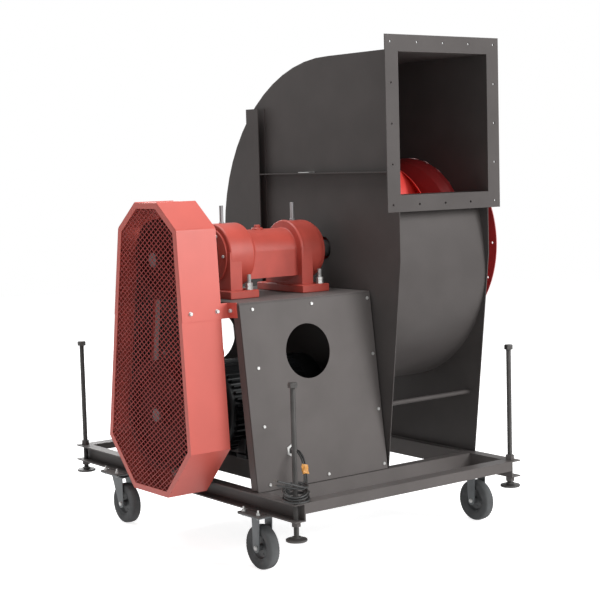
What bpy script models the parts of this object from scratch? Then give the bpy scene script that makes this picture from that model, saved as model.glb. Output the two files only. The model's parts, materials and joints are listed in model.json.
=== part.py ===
"""Belt-driven centrifugal fan on a wheeled base frame.

X runs along the fan shaft, from the belt guard (-X) to the inlet (+X).
The outlet faces -Y, and Z is up from the floor that the casters stand on.
Lengths are metres and angles are degrees unless a name says otherwise.
"""
import math

import bmesh
import bpy
from mathutils import Matrix

GAP = 0.0003                     # air between pieces that rest on each other
WELD = 0.001                     # how far welded shapes run into each other
WELD_STEP = 0.0005               # step between faces that would otherwise lie in one plane

# Base frame
JACK_SPACING_X = 1.290
JACK_SPACING_Y = 1.826
FRAME_TOP_Z = 0.337
CHANNEL_HEIGHT = 0.080
CHANNEL_FLANGE = 0.058
CHANNEL_WALL = 0.006
WEB_FROM_JACK = 0.025            # jack axis to the inside of the web
FRAME_END = 0.037                # jack axis to the end of the frame
END_ANGLE_WIDTH = 0.069
END_ANGLE_HEIGHT = 0.047
SLEEPER_WIDTH = 0.050

# Screw jacks
JACK_ROD_RADIUS = 0.012
JACK_ROD_ABOVE_FOOT = 0.686      # sole of the foot to the top of the head
JACK_HEAD_FLATS = 0.036
JACK_HEAD_HEIGHT = 0.022
JACK_NUT_HEIGHT = 0.024
JACK_FOOT_RADIUS = 0.047
JACK_FOOT_PLATE = 0.010
JACK_HUB_RADIUS = 0.019
JACK_HUB_HEIGHT = 0.010
JACK_SOCKET_DEPTH = 0.012
FOOT_LIFT = {"front_left": 0.170, "front_right": 0.207, "rear_left": 0.198, "rear_right": 0.190}

# Casters
WHEEL_RADIUS = 0.100
TYRE_WIDTH = 0.052
RIM_RADIUS = 0.056
RIM_WIDTH = 0.040
RIM_WEB = 0.004                  # half the disc between the rim and the hub
WHEEL_STEPS = 16
AXLE_RADIUS = 0.006
HUB_RADIUS = 0.015
HUB_LENGTH = 0.064
FORK_WALL = 0.004
FORK_END_RADIUS = 0.022
FORK_HALF_DEPTH = 0.029
CASTER_FROM_JACK_X = 0.007
FRONT_CASTER_FROM_JACK = 0.241
REAR_CASTER_FROM_JACK = 0.376
SWIVEL_TRAIL = 0.044
CASTER_PLATE_X = 0.150
CASTER_PLATE_Y = 0.160
CASTER_PLATE_T = 0.005
MOUNT_PLATE_T = 0.006
CASTER_BOLT_X = 0.058
CASTER_BOLT_Y = 0.055
RACE_RADIUS = 0.034
RACE_HEIGHT = 0.014

# Shafts and belt drive
SHAFT_Y = -0.200
SHAFT_Z = 1.362
SHAFT_RADIUS = 0.040
SHAFT_NOSE_RADIUS = 0.0325
SHAFT_LEFT_X = -0.878
SHAFT_SHOULDER_X = -0.690
MOTOR_Y = -0.157
MOTOR_Z = 0.650
MOTOR_SHAFT_RADIUS = 0.030
MOTOR_SHAFT_X = (-0.862, -0.200)
FAN_PULLEY_RADIUS = 0.180
MOTOR_PULLEY_RADIUS = 0.250
BELT_COUNT = 4
BELT_PITCH = 0.0255
BELT_WIDTH = 0.013
BELT_BACK_CLEARANCE = 0.0015     # pulley rim to the band that joins the belts
BELT_BACK_T = 0.003
GROOVE_DEPTH = 0.020
GROOVE_MOUTH = 0.019
GROOVE_FLOOR = 0.015
PULLEY_EDGE = 0.008              # rim beyond the middle of the outer lands
PULLEY_RIM_WALL = 0.012
PULLEY_HUB_RADIUS = 0.055
PULLEY_MID_X = -0.800
PULLEY_STEPS = 16
BELT_ARC_STEPS = 8

# Fan casing
CASING_MID_X = 0.384
CASING_WIDTH = 0.558             # between the side plates
SHEET_T = 0.004
OUTLET_HEIGHT = 0.650
OUTLET_TOP_Z = 2.270
OUTLET_FACE_Y = -0.775
FLANGE_LEG = 0.077
FLANGE_T = 0.006
FLANGE_HOLE_OFFSET = 0.0445      # opening edge to the hole row
FLANGE_HOLE_RADIUS = 0.006
FLANGE_HOLE_SPACES = 4
WRAP_FRONT_RADIUS = 0.530
WRAP_TOP_RADIUS = OUTLET_TOP_Z - SHAFT_Z
WRAP_GROWTH_POWER = 0.85
WRAP_START = -20                 # the tongue, ahead of the level line
WRAP_END = 270                   # the top
TONGUE_CENTRE = (-0.620, 1.598)
TONGUE_RADIUS = 0.020
PLATE_REAR_RADIUS = 0.845
PLATE_TOP_MARGIN = 0.016
PLATE_ARC_TOP_Y = -0.270
PLATE_TAPER_Z = 1.320
PLATE_TAPER = 0.115
SHAFT_HOLE_RADIUS = 0.056
RIB_DEPTH = 0.046
RIB_WALL = 0.005
UPRIGHT_RIB_Y = (0.257, 0.359)
UPRIGHT_RIB_TOP_Z = 2.058
LEVEL_RIB_TOP_Z = 1.729
TIE_Y = -0.621
TIE_Z = 0.634
TIE_RADIUS = 0.011

# Inlet
INLET_FLANGE_RADIUS = 0.480
INLET_FLANGE_X = 0.808
INLET_COLLAR_RADIUS = 0.4235
INLET_HOLE_CIRCLE = 0.452
INLET_HOLE_COUNT = 16
INLET_NOZZLE = ((0.4235, 0.640), (0.400, 0.604), (0.340, 0.584), (0.284, 0.576), (0.274, 0.560))
INLET_STEPS = 28

# Impeller
IMPELLER_RADIUS = 0.400
BACK_PLATE_X = 0.240
BACK_PLATE_T = 0.006
BACK_PLATE_BORE = 0.057
SHROUD = ((0.399, 0.537), (0.300, 0.553), (0.290, 0.557), (0.287, 0.565))
BLADE_END_X = 0.5378
BLADE_COUNT = 12
BLADE_RADII = (0.278, 0.396)
BLADE_SWEEP = 34
BLADE_POINTS = 5
HOOP_X = 0.420
HOOP_WIDTH = 0.008
HOOP_T = 0.006
IMPELLER_STEPS = 28
HUB_X = (0.205, 0.330)
HUB_BARREL_RADIUS = 0.055
HUB_FLANGE_RADIUS = 0.110

# Bearing unit
BEARING_X = (-0.480, -0.070)
TUBE_RADIUS = 0.111
BELL_RADIUS = 0.148
BELL_HALF_WIDTH = 0.072
HOUSING_BORE = 0.095
BEARING_WIDTH = 0.050
COVER_RADIUS = 0.126
COVER_T = 0.012
LEG_OFFSET = -0.027
LEG_T = 0.036
FOOT_OFFSET = 0.015
FOOT_LENGTH = 0.080
FOOT_HALF_SPAN = 0.185
FOOT_HEIGHT = 0.036
STUD_RADIUS = 0.010
STUD_FROM_AXIS = 0.156
STUD_OFFSET = 0.020
WELL_RADIUS = 0.009
WELL_TOP_Z = 1.592
WELL_OFFSET = -0.016
PLUG_X = -0.295
PLUG_RADIUS = 0.019
PLUG_BASE_RADIUS = 0.028
PLUG_BASE_HEIGHT = 0.014
PLUG_TOP_Z = 1.507

# Motor pedestal
PEDESTAL_LEFT_X = -0.657
PEDESTAL_RIGHT_X = 0.093
PEDESTAL_TOP_Z = 1.170
TOP_PLATE_T = 0.010
PEDESTAL_BASE_HALF = 0.455       # shaft plane to the panel at the frame
PEDESTAL_TOP_HALF = 0.350        # shaft plane to the panel under the top plate
PANEL_T = 0.003
POST_LEG = 0.045
POST_WALL = 0.005
POST_CUT = 0.0072                # post ends from the panel's, so that their square cuts clear
PANEL_TRIM = 0.004
PANEL_INSET_X = 0.034            # bare post beside the panel's left edge
PANEL_HOLE_RADIUS = 0.125
PANEL_HOLE_Z = 0.928
PANEL_HOLE_X = -0.303

# Motor
MOTOR_BODY_X = (-0.550, -0.130)
MOTOR_FIN_RADII = (0.196, 0.216)
FIN_COUNT = 16
SHIELD_RADIUS = 0.200
SHIELD_T = 0.050
COWL_LENGTH = 0.140
COWL_RADIUS = 0.205
MOTOR_FOOT_Y = 0.178
MOTOR_FOOT = (0.360, 0.076, 0.100)
MOTOR_SHAFT_HEIGHT = 0.225
RAIL_X = (-0.480, -0.200)
RAIL_WIDTH = 0.060
RAIL_WALL = 0.006
TERMINAL_BOX = (0.180, 0.100, 0.130)
TERMINAL_BOX_X = -0.420
EYE_X = -0.505
EYE_RADIUS = 0.031
EYE_BAR = 0.008

# Belt guard: height, half width and middle of each corner pair
GUARD_FACE_X = -0.905
GUARD_BACK_X = -0.697
GUARD_SHEET = 0.002
GUARD_TOP = (1.619, 0.090, SHAFT_Y)
GUARD_SHOULDER = (1.500, 0.243, SHAFT_Y)
GUARD_HIP = (0.520, 0.352, MOTOR_Y)
GUARD_BOTTOM = (0.298, 0.147, -0.160)
GUARD_BORDER = 0.026
STRAP_T = 0.004
STRAP_Z = 1.134
STRAP_WIDTH = 0.068
STRAP_OVERLAP = 0.100            # along the guard's wall
STRAP_TAB = 0.070                # across the pedestal's post
BRACKET_OVERLAP = 0.080
BRACKET_RISE = 0.032

# Power cable: two leads from the bush on the front panel to the coil round a jack
LEAD_RADIUS = 0.0045
LEAD_SPACING = 0.0115
GLAND_X = -0.452
GLAND_Z = 0.497
GLAND_RADIUS = 0.030
GLAND_NECK = 0.022
GLAND_FACE = 0.010
COIL_RADIUS = 0.050
COIL_HALF_WIDTH = 0.015
COIL_HALF_HEIGHT = 0.031
TAPE_AT = (-0.461, -0.745, 0.421)
TAPE_HALF = (0.0150, 0.0085, 0.022)
TAPE_BORE = (0.0135, 0.0070)
TAPE_LEAN = -13.7
# Places that the leads pass, and the way they stand apart there
LEAD_GUIDE = (
    ((-0.458, -0.731, 0.466), (1.00, 0.00)),
    ((-0.461, -0.745, 0.421), (1.00, 0.00)),
    ((-0.468, -0.757, 0.385), (1.00, 0.00)),
    ((-0.510, -0.805, 0.356), (0.97, -0.25)),
    ((-0.540, -0.868, 0.358), (0.85, -0.53)),
    ((-0.5775, -0.902, 0.366), (0.50, -0.87)),
)

JACK_X = JACK_SPACING_X / 2
JACK_Y = JACK_SPACING_Y / 2
WEB_X = JACK_X - WEB_FROM_JACK
CHANNEL_BOTTOM_Z = FRAME_TOP_Z - CHANNEL_HEIGHT
SIDE_SIGNS = {"left": -1, "right": 1}
ROW_SIGNS = {"front": -1, "rear": 1}
CORNERS = tuple(FOOT_LIFT)
DRIVE_PLATE_X = CASING_MID_X - CASING_WIDTH / 2 - SHEET_T / 2
INLET_PLATE_X = CASING_MID_X + CASING_WIDTH / 2 + SHEET_T / 2
OUTLET_BOTTOM_Z = OUTLET_TOP_Z - OUTLET_HEIGHT
OUTLET_MID_Z = OUTLET_TOP_Z - OUTLET_HEIGHT / 2
FLANGE_BACK_Y = OUTLET_FACE_Y + FLANGE_T + GAP
PLATE_REAR_Y = SHAFT_Y + PLATE_REAR_RADIUS
CASING_BASE_Z = FRAME_TOP_Z + 2 * GAP
ORIGIN_SHIFT_X = -(GUARD_FACE_X + INLET_FLANGE_X + SHEET_T / 2) / 2
HEX = 1 / math.cos(math.radians(30))

# Where the axes of a shape drawn in X and Y, or turned about Z, end up in the world
FACING_X = Matrix(((0, 0, 1, 0), (1, 0, 0, 0), (0, 1, 0, 0), (0, 0, 0, 1)))
FACING_Y = Matrix(((1, 0, 0, 0), (0, 0, -1, 0), (0, 1, 0, 0), (0, 0, 0, 1)))
ALONG_X = Matrix(((0, 0, 1, 0), (0, 1, 0, 0), (-1, 0, 0, 0), (0, 0, 0, 1)))
ALONG_Y = Matrix(((1, 0, 0, 0), (0, 0, 1, 0), (0, -1, 0, 0), (0, 0, 0, 1)))


def clear_scene():
    """Remove the objects that a new file starts with."""
    for old in list(bpy.data.objects):
        bpy.data.objects.remove(old, do_unlink=True)


def new_collection(name):
    """A collection linked to the scene."""
    collection = bpy.data.collections.new(name)
    bpy.context.scene.collection.children.link(collection)
    return collection


def new_material(name, colour, roughness, metallic):
    """A Principled material with the given base colour."""
    material = bpy.data.materials.new(name)
    material.use_nodes = True
    shader = material.node_tree.nodes["Principled BSDF"]
    shader.inputs["Base Color"].default_value = (*colour, 1.0)
    shader.inputs["Roughness"].default_value = roughness
    shader.inputs["Metallic"].default_value = metallic
    return material


def at(x=0.0, y=0.0, z=0.0):
    """A plain move."""
    return Matrix.Translation((x, y, z))


def circle(radius, count, centre=(0.0, 0.0)):
    """Points round a circle, counter-clockwise."""
    turns = [2 * math.pi * (i + 0.5) / count for i in range(count)]
    return [(centre[0] + radius * math.cos(t), centre[1] + radius * math.sin(t)) for t in turns]


def bolt_hole(radius, centre):
    """An eight-sided hole whose flats clear a round of the given radius."""
    return circle((radius + GAP) / math.cos(math.pi / 8), 8, centre)


def bolt_bore(radius, length):
    """A cutter for such a hole, about Z."""
    return cylinder((radius + GAP) / math.cos(math.pi / 8), length, 8)


def arc(centre, radius, start, end, count):
    """Points along an arc between two angles in degrees."""
    steps = [math.radians(start + (end - start) * i / count) for i in range(count + 1)]
    return [(centre[0] + radius * math.cos(t), centre[1] + radius * math.sin(t)) for t in steps]


def rectangle(width, height, centre=(0.0, 0.0)):
    """The corners of a rectangle, counter-clockwise."""
    half_w, half_h = width / 2, height / 2
    corners = ((-half_w, -half_h), (half_w, -half_h), (half_w, half_h), (-half_w, half_h))
    return [(centre[0] + x, centre[1] + y) for x, y in corners]


def unit(x, y):
    """A vector brought to length one."""
    length = math.hypot(x, y)
    return x / length, y / length


def bend(into, out):
    """The direction half-way round a bend, and the mitre's stretch there."""
    mid = unit(into[0] + out[0], into[1] + out[1])
    return mid, 1 / (mid[0] * out[0] + mid[1] * out[1])


def strip(path, thickness):
    """The outline of a sheet that follows a path, with mitred bends."""
    left, right = [], []
    last = len(path) - 1
    for i, (x, y) in enumerate(path):
        before = path[max(i - 1, 0)]
        after = path[min(i + 1, last)]
        out = unit(after[0] - x, after[1] - y) if i < last else unit(x - before[0], y - before[1])
        into = unit(x - before[0], y - before[1]) if i else out
        mid, stretch = bend(into, out)
        reach = thickness / 2 * stretch
        left.append((x - mid[1] * reach, y + mid[0] * reach))
        right.append((x + mid[1] * reach, y - mid[0] * reach))
    return left + right[::-1]


def inset(loop, distance):
    """A counter-clockwise convex outline moved inwards."""
    moved = []
    for i, (x, y) in enumerate(loop):
        before = loop[i - 1]
        after = loop[(i + 1) % len(loop)]
        mid, stretch = bend(unit(x - before[0], y - before[1]), unit(after[0] - x, after[1] - y))
        reach = distance * stretch
        moved.append((x - mid[1] * reach, y + mid[0] * reach))
    return moved


def tidy_mesh(mesh):
    """Weld loose caps and turn every face outwards."""
    bm = bmesh.new()
    bm.from_mesh(mesh)
    bmesh.ops.remove_doubles(bm, verts=bm.verts, dist=1e-5)
    bmesh.ops.recalc_face_normals(bm, faces=bm.faces)
    bm.to_mesh(mesh)
    bm.free()
    return mesh


def read_helper(helper):
    """Turn a helper object into a plain mesh and remove the helper."""
    bpy.context.scene.collection.objects.link(helper)
    depsgraph = bpy.context.evaluated_depsgraph_get()
    depsgraph.update()
    mesh = bpy.data.meshes.new_from_object(helper.evaluated_get(depsgraph))
    bpy.data.objects.remove(helper)
    return tidy_mesh(mesh)


def flat(loops, thickness):
    """A plate: an outline, then any hole outlines, as a filled 2D curve with thickness."""
    curve = bpy.data.curves.new("outline", "CURVE")
    curve.dimensions = "2D"
    curve.fill_mode = "BOTH"
    curve.extrude = thickness / 2
    for loop in loops:
        spline = curve.splines.new("POLY")
        spline.points.add(len(loop) - 1)
        for point, (x, y) in zip(spline.points, loop):
            point.co = (x, y, 0, 1)
        spline.use_cyclic_u = True
    return read_helper(bpy.data.objects.new("outline", curve))


def turned(profile, steps, closed=False):
    """A body turned about Z from (radius, z) points that run down its outer side."""
    mesh = bpy.data.meshes.new("profile")
    edges = [(i, i + 1) for i in range(len(profile) - 1)]
    if closed:
        edges.append((len(profile) - 1, 0))
    mesh.from_pydata([(radius, 0, z) for radius, z in profile], edges, [])
    helper = bpy.data.objects.new("profile", mesh)
    screw = helper.modifiers.new("turn", "SCREW")
    screw.steps = steps
    screw.render_steps = steps
    screw.use_merge_vertices = True
    screw.merge_threshold = 0.00001
    return read_helper(helper)


def cylinder(radius, length, sides=24, bore=0.0):
    """A cylinder about Z, centred, with an optional bore."""
    half = length / 2
    if bore:
        return turned([(radius, half), (radius, -half), (bore, -half), (bore, half)], sides, closed=True)
    return turned([(0, half), (radius, half), (radius, -half), (0, -half)], sides)


def bar_along_x(radius, x_from, x_to, sides=24, bore=0.0):
    """A cylinder along X between two places."""
    mesh = cylinder(radius, x_to - x_from, sides, bore)
    mesh.transform(at(x=(x_from + x_to) / 2) @ ALONG_X)
    return mesh


def box(size):
    """A box centred on its own origin."""
    mesh = bpy.data.meshes.new("box")
    bm = bmesh.new()
    bmesh.ops.create_cube(bm, size=1.0, matrix=Matrix.Diagonal((*size, 1.0)))
    bm.to_mesh(mesh)
    bm.free()
    return mesh


def lofted(rings):
    """A body through matching rings of points, joined ring to ring and last to first."""
    mesh = bpy.data.meshes.new("loft")
    bm = bmesh.new()
    rows = [[bm.verts.new(point) for point in ring] for ring in rings]
    for row, after in zip(rows, rows[1:] + rows[:1]):
        for i in range(len(row)):
            bm.faces.new((row[i - 1], row[i], after[i], after[i - 1]))
    bm.to_mesh(mesh)
    bm.free()
    return tidy_mesh(mesh)


def bolt(head_flats, head_height, shank_radius, shank_length, nut=0.0):
    """A six-sided bolt: the head stands on z = 0 and the shank hangs below it.

    With a nut, the shank ends in one of the given height, whose top is at -shank_length.
    """
    corner = head_flats / 2 * HEX
    profile = [(0, head_height), (corner, head_height), (corner, 0), (shank_radius, 0)]
    profile.append((shank_radius, -shank_length))
    end = -shank_length
    if nut:
        end = -shank_length - nut
        profile += [(corner, -shank_length), (corner, end)]
    profile.append((0, end))
    return turned(profile, 6)


def joined(parts):
    """One mesh from (mesh, matrix) pairs."""
    bm = bmesh.new()
    for mesh, matrix in parts:
        piece = mesh.copy()
        piece.transform(matrix)
        bm.from_mesh(piece)
        bpy.data.meshes.remove(piece)
    mesh = bpy.data.meshes.new("joined")
    bm.to_mesh(mesh)
    bm.free()
    return mesh


class Workshop:
    """Adds finished objects to the model's collections under its base empty."""

    def __init__(self):
        self.parts = new_collection("centrifugal_fan")
        self.cutters = new_collection("cutters")
        self.base = self.empty("fan_base", (ORIGIN_SHIFT_X, 0, 0), None)
        self.materials = {
            "frame": new_material("grey_frame_paint", (0.075, 0.067, 0.064), 0.45, 0.35),
            "casing": new_material("grey_casing_paint", (0.085, 0.078, 0.075), 0.42, 0.35),
            "red": new_material("red_paint", (0.62, 0.07, 0.045), 0.42, 0.0),
            "dark_red": new_material("impeller_red_paint", (0.50, 0.04, 0.03), 0.45, 0.0),
            "zinc": new_material("zinc_plate", (0.62, 0.62, 0.60), 0.32, 1.0),
            "steel": new_material("bright_steel", (0.45, 0.45, 0.46), 0.30, 1.0),
            "black": new_material("black_paint", (0.016, 0.017, 0.018), 0.45, 0.0),
            "rubber": new_material("tyre_rubber", (0.020, 0.020, 0.021), 0.75, 0.0),
            "belt": new_material("belt_rubber", (0.012, 0.012, 0.012), 0.85, 0.0),
            "fork": new_material("fork_zinc", (0.30, 0.31, 0.32), 0.40, 0.8),
            "dark_steel": new_material("jack_steel", (0.070, 0.068, 0.066), 0.45, 0.7),
            "iron": new_material("pulley_iron", (0.20, 0.20, 0.20), 0.50, 0.8),
            "cable": new_material("cable_rubber", (0.010, 0.010, 0.010), 0.65, 0.0),
            "tape": new_material("yellow_tape", (0.72, 0.42, 0.05), 0.50, 0.0),
        }

    def empty(self, name, location, parent):
        """An empty that carries other objects."""
        carrier = bpy.data.objects.new(name, None)
        carrier.location = location
        carrier.parent = parent
        self.parts.objects.link(carrier)
        return carrier

    def add(self, name, mesh, material, location=(0, 0, 0), rotation=(0, 0, 0), parent=None):
        """A finished object at its place."""
        mesh.name = name
        mesh.materials.clear()
        mesh.materials.append(self.materials[material])
        mesh.shade_smooth()
        mesh.set_sharp_from_angle(angle=math.radians(30))
        piece = bpy.data.objects.new(name, mesh)
        piece.location = location
        piece.rotation_euler = rotation
        piece.parent = parent or self.base
        self.parts.objects.link(piece)
        return piece

    def cut(self, target, mesh, operation="DIFFERENCE"):
        """Cut a mesh out of an object, or join it on, both in the object's own frame."""
        cutter = bpy.data.objects.new(target.name + "_cutter", mesh)
        cutter.parent = target
        cutter.hide_render = True
        cutter.display_type = "WIRE"
        self.cutters.objects.link(cutter)
        boolean = target.modifiers.new("cut", "BOOLEAN")
        boolean.operation = operation
        boolean.object = cutter
        boolean.solver = "EXACT"


def corner_signs(corner):
    """The X and Y signs of a corner's name, such as front_left."""
    row, side = corner.split("_")
    return SIDE_SIGNS[side], ROW_SIGNS[row]


def jack_place(corner):
    """Where a jack's axis meets the floor plane."""
    sign_x, sign_y = corner_signs(corner)
    return sign_x * JACK_X, sign_y * JACK_Y


def caster_place(corner):
    """A caster's plate centre: over the wheel in front, over the swivel behind."""
    sign_x, sign_y = corner_signs(corner)
    x = sign_x * (JACK_X + CASTER_FROM_JACK_X)
    if sign_y < 0:
        return x, -JACK_Y + FRONT_CASTER_FROM_JACK
    return x, JACK_Y - REAR_CASTER_FROM_JACK


def channel_section(sign):
    """A side channel's outline in X and Z, with its open side outwards."""
    tip = WEB_X + CHANNEL_FLANGE
    inner = WEB_X + CHANNEL_WALL
    low, high = CHANNEL_BOTTOM_Z, FRAME_TOP_Z
    points = [(WEB_X, low), (tip, low), (tip, low + CHANNEL_WALL), (inner, low + CHANNEL_WALL)]
    points += [(inner, high - CHANNEL_WALL), (tip, high - CHANNEL_WALL), (tip, high), (WEB_X, high)]
    return [(sign * x, z) for x, z in points]


def bolt_places(centre):
    """The four bolt positions of a caster plate."""
    return [(centre[0] + i * CASTER_BOLT_X, centre[1] + j * CASTER_BOLT_Y) for i in (-1, 1) for j in (-1, 1)]


def bolt_bores(centre, z):
    """Cutters for a caster plate's bolt holes, with their places."""
    bore = bolt_bore(AXLE_RADIUS, 3 * CASTER_PLATE_T)
    return [(bore, at(x, y, z)) for x, y in bolt_places(centre)]


def angle_section(y, sign, width, height):
    """An angle's outline in Y and Z at the frame top: a web at y and a leg along sign."""
    wall = CHANNEL_WALL
    points = [(0, 0), (width, 0), (width, -wall), (wall, -wall), (wall, -height), (0, -height)]
    return [(y + sign * across, FRAME_TOP_Z - WELD_STEP + up) for across, up in points]


def build_frame(shop):
    """The welded frame: side channels, cross members, caster mounting plates and jack nuts."""
    length = JACK_SPACING_Y + 2 * FRAME_END
    channels = [(flat([channel_section(sign)], length), FACING_Y) for sign in (-1, 1)]
    frame = shop.add("base_frame", joined(channels), "frame")

    span = 2 * (WEB_X + CHANNEL_WALL / 2)
    end_y = JACK_Y + FRAME_END - WELD_STEP
    sections = [angle_section(sign * end_y, -sign, END_ANGLE_WIDTH, END_ANGLE_HEIGHT) for sign in (-1, 1)]
    pedestal_reach = PEDESTAL_BASE_HALF + 0.010
    sleepers = ((SHAFT_Y - pedestal_reach, 1), (SHAFT_Y + pedestal_reach, -1),
                (PLATE_REAR_Y - PLATE_TAPER + 0.004, -1))
    for y, sign in sleepers:
        sections.append(angle_section(y, sign, SLEEPER_WIDTH, CHANNEL_HEIGHT - 2 * WELD_STEP))
    shop.cut(frame, joined([(flat([section], span), FACING_X) for section in sections]), "UNION")

    mount_z = CHANNEL_BOTTOM_Z - MOUNT_PLATE_T / 2 + WELD
    plate = box((CASTER_PLATE_X, CASTER_PLATE_Y, MOUNT_PLATE_T))
    nut = cylinder(JACK_HEAD_FLATS / 2 * HEX, JACK_NUT_HEIGHT, 6)
    welded = []
    holes = []
    bore = bolt_bore(JACK_ROD_RADIUS, 2 * CHANNEL_HEIGHT)
    for corner in CORNERS:
        x, y = jack_place(corner)
        welded.append((plate, at(*caster_place(corner), mount_z)))
        for z in (FRAME_TOP_Z + JACK_NUT_HEIGHT / 2 - WELD, CHANNEL_BOTTOM_Z - JACK_NUT_HEIGHT / 2 + WELD):
            welded.append((nut, at(x, y, z)))
        holes.append((bore, at(x, y, (CHANNEL_BOTTOM_Z + FRAME_TOP_Z) / 2)))
    shop.cut(frame, joined(welded), "UNION")
    shop.cut(frame, joined(holes))


def build_jacks(shop):
    """Four screw jacks: a swivelling foot and a long screw each, through the frame's nuts."""
    corner_radius = JACK_HEAD_FLATS / 2 * HEX
    hub_top = JACK_FOOT_PLATE + JACK_HUB_HEIGHT
    socket_floor = hub_top - JACK_SOCKET_DEPTH
    socket = JACK_ROD_RADIUS + 0.0008
    foot = turned([
        (0, socket_floor),
        (socket, socket_floor),
        (socket, hub_top),
        (JACK_HUB_RADIUS, hub_top),
        (JACK_HUB_RADIUS, JACK_FOOT_PLATE),
        (JACK_FOOT_RADIUS, JACK_FOOT_PLATE),
        (JACK_FOOT_RADIUS, 0),
        (0, 0),
    ], 12)
    rod_bottom = socket_floor + GAP
    head_bottom = JACK_ROD_ABOVE_FOOT - JACK_HEAD_HEIGHT
    rod = cylinder(JACK_ROD_RADIUS, head_bottom - rod_bottom, 12)
    rod.transform(at(z=(head_bottom + rod_bottom) / 2))
    head = cylinder(corner_radius, JACK_HEAD_HEIGHT, 6)
    head.transform(at(z=JACK_ROD_ABOVE_FOOT - JACK_HEAD_HEIGHT / 2 - WELD))
    for corner in CORNERS:
        place = (*jack_place(corner), FOOT_LIFT[corner])
        shop.add(f"jack_foot_{corner}", foot.copy(), "dark_steel", place)
        screw = shop.add(f"jack_screw_{corner}", rod.copy(), "dark_steel", place)
        shop.cut(screw, head.copy(), "UNION")


def wheel_meshes():
    """Tyre and rim turned about Z, with a flat of the tread where the wheel stands."""
    half = TYRE_WIDTH / 2
    tread = WHEEL_RADIUS / math.cos(math.pi / WHEEL_STEPS)
    upper = [(RIM_RADIUS + GAP, half * 0.74), (RIM_RADIUS + 0.018, half), (tread - 0.010, half * 0.86)]
    upper.append((tread, half * 0.50))
    tyre = turned(upper + [(r, -z) for r, z in reversed(upper)], WHEEL_STEPS, closed=True)
    upper = [(AXLE_RADIUS + 0.0008, HUB_LENGTH / 2), (HUB_RADIUS, HUB_LENGTH / 2)]
    upper += [(HUB_RADIUS, RIM_WEB), (RIM_RADIUS - 0.006, RIM_WEB), (RIM_RADIUS, RIM_WIDTH / 2)]
    rim = turned(upper + [(r, -z) for r, z in reversed(upper)], WHEEL_STEPS, closed=True)
    flat_down = Matrix.Rotation(math.pi / WHEEL_STEPS, 4, "Z")
    for wheel in (tyre, rim):
        wheel.transform(flat_down)
    return tyre, rim


def add_fork(shop, corner, top, seat_front, seat_back, location, parent):
    """A pressed fork about its wheel's axle: two legs under a seat, with the axle bolt.

    The seat reaches from seat_front to seat_back in Y, and its upper face is at top.
    """
    inner = HUB_LENGTH / 2 + 0.001
    outer = inner + FORK_WALL
    seat = box((2 * outer + 0.002, seat_back - seat_front, FORK_WALL))
    seat.transform(at(y=(seat_front + seat_back) / 2, z=top - FORK_WALL / 2))
    fork = shop.add(f"caster_fork_{corner}", seat, "fork", location, parent=parent)
    end = arc((0, 0), FORK_END_RADIUS, 180, 360, 6)
    reach = top - FORK_WALL / 2
    side = end + [(seat_back - WELD, reach), (seat_front + WELD, reach)]
    leg = flat([side, bolt_hole(AXLE_RADIUS, (0, 0))], FORK_WALL)
    middle = (inner + outer) / 2
    shop.cut(fork, joined([(leg, at(x=sign * middle) @ FACING_X) for sign in (-1, 1)]), "UNION")
    axle = bolt(0.018, 0.007, AXLE_RADIUS, 2 * (outer + GAP), nut=0.008)
    axle.transform(at(x=outer + GAP) @ ALONG_X)
    shop.add(f"caster_axle_{corner}", axle, "zinc", location, parent=parent)
    return fork


def build_casters(shop):
    """Two fixed casters in front and two swivel casters behind."""
    tyre, rim = wheel_meshes()
    plate_z = CHANNEL_BOTTOM_Z + WELD - MOUNT_PLATE_T - GAP - CASTER_PLATE_T / 2
    plate_bottom = plate_z - CASTER_PLATE_T / 2
    plate = box((CASTER_PLATE_X, CASTER_PLATE_Y, CASTER_PLATE_T))
    race = cylinder(RACE_RADIUS, RACE_HEIGHT, 16)
    race_bottom = plate_bottom + WELD - RACE_HEIGHT
    for corner in CORNERS:
        x, y = caster_place(corner)
        if corner_signs(corner)[1] > 0:
            carrier = shop.empty(f"swivel_axis_{corner}", (x, y, 0), shop.base)
            swivel = shop.add(f"caster_swivel_plate_{corner}", plate.copy(), "fork", (x, y, plate_z))
            ring = race.copy()
            ring.transform(at(z=race_bottom + RACE_HEIGHT / 2 - plate_z))
            shop.cut(swivel, ring, "UNION")
            shop.cut(swivel, joined(bolt_bores((0, 0), 0)))
            place = (0, -SWIVEL_TRAIL, WHEEL_RADIUS)
            top = race_bottom - GAP - WHEEL_RADIUS
            add_fork(shop, corner, top, -FORK_HALF_DEPTH + 0.008, SWIVEL_TRAIL + RACE_RADIUS, place, carrier)
        else:
            carrier = shop.base
            place = (x, y, WHEEL_RADIUS)
            top = plate_bottom + WELD - WHEEL_RADIUS
            fork = add_fork(shop, corner, top, -FORK_HALF_DEPTH, FORK_HALF_DEPTH, place, carrier)
            base = plate.copy()
            base.transform(at(z=plate_z - WHEEL_RADIUS))
            shop.cut(fork, base, "UNION")
            shop.cut(fork, joined(bolt_bores((0, 0), plate_z - WHEEL_RADIUS)))
        for name, mesh, material in (("tyre", tyre, "rubber"), ("rim", rim, "fork")):
            shop.add(f"caster_{name}_{corner}", mesh.copy(), material, place, (0, math.pi / 2, 0), carrier)


def panel_rise():
    """The pedestal's height under its top plate."""
    return PEDESTAL_TOP_Z - TOP_PLATE_T - FRAME_TOP_Z - 4 * GAP


def panel_length():
    """The panel's slope length."""
    return math.hypot(panel_rise(), PEDESTAL_BASE_HALF - PEDESTAL_TOP_HALF)


def up_slope(z):
    """The slope length from the panel's foot to a height."""
    return (z - FRAME_TOP_Z - 2 * GAP) * panel_length() / panel_rise()


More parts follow.
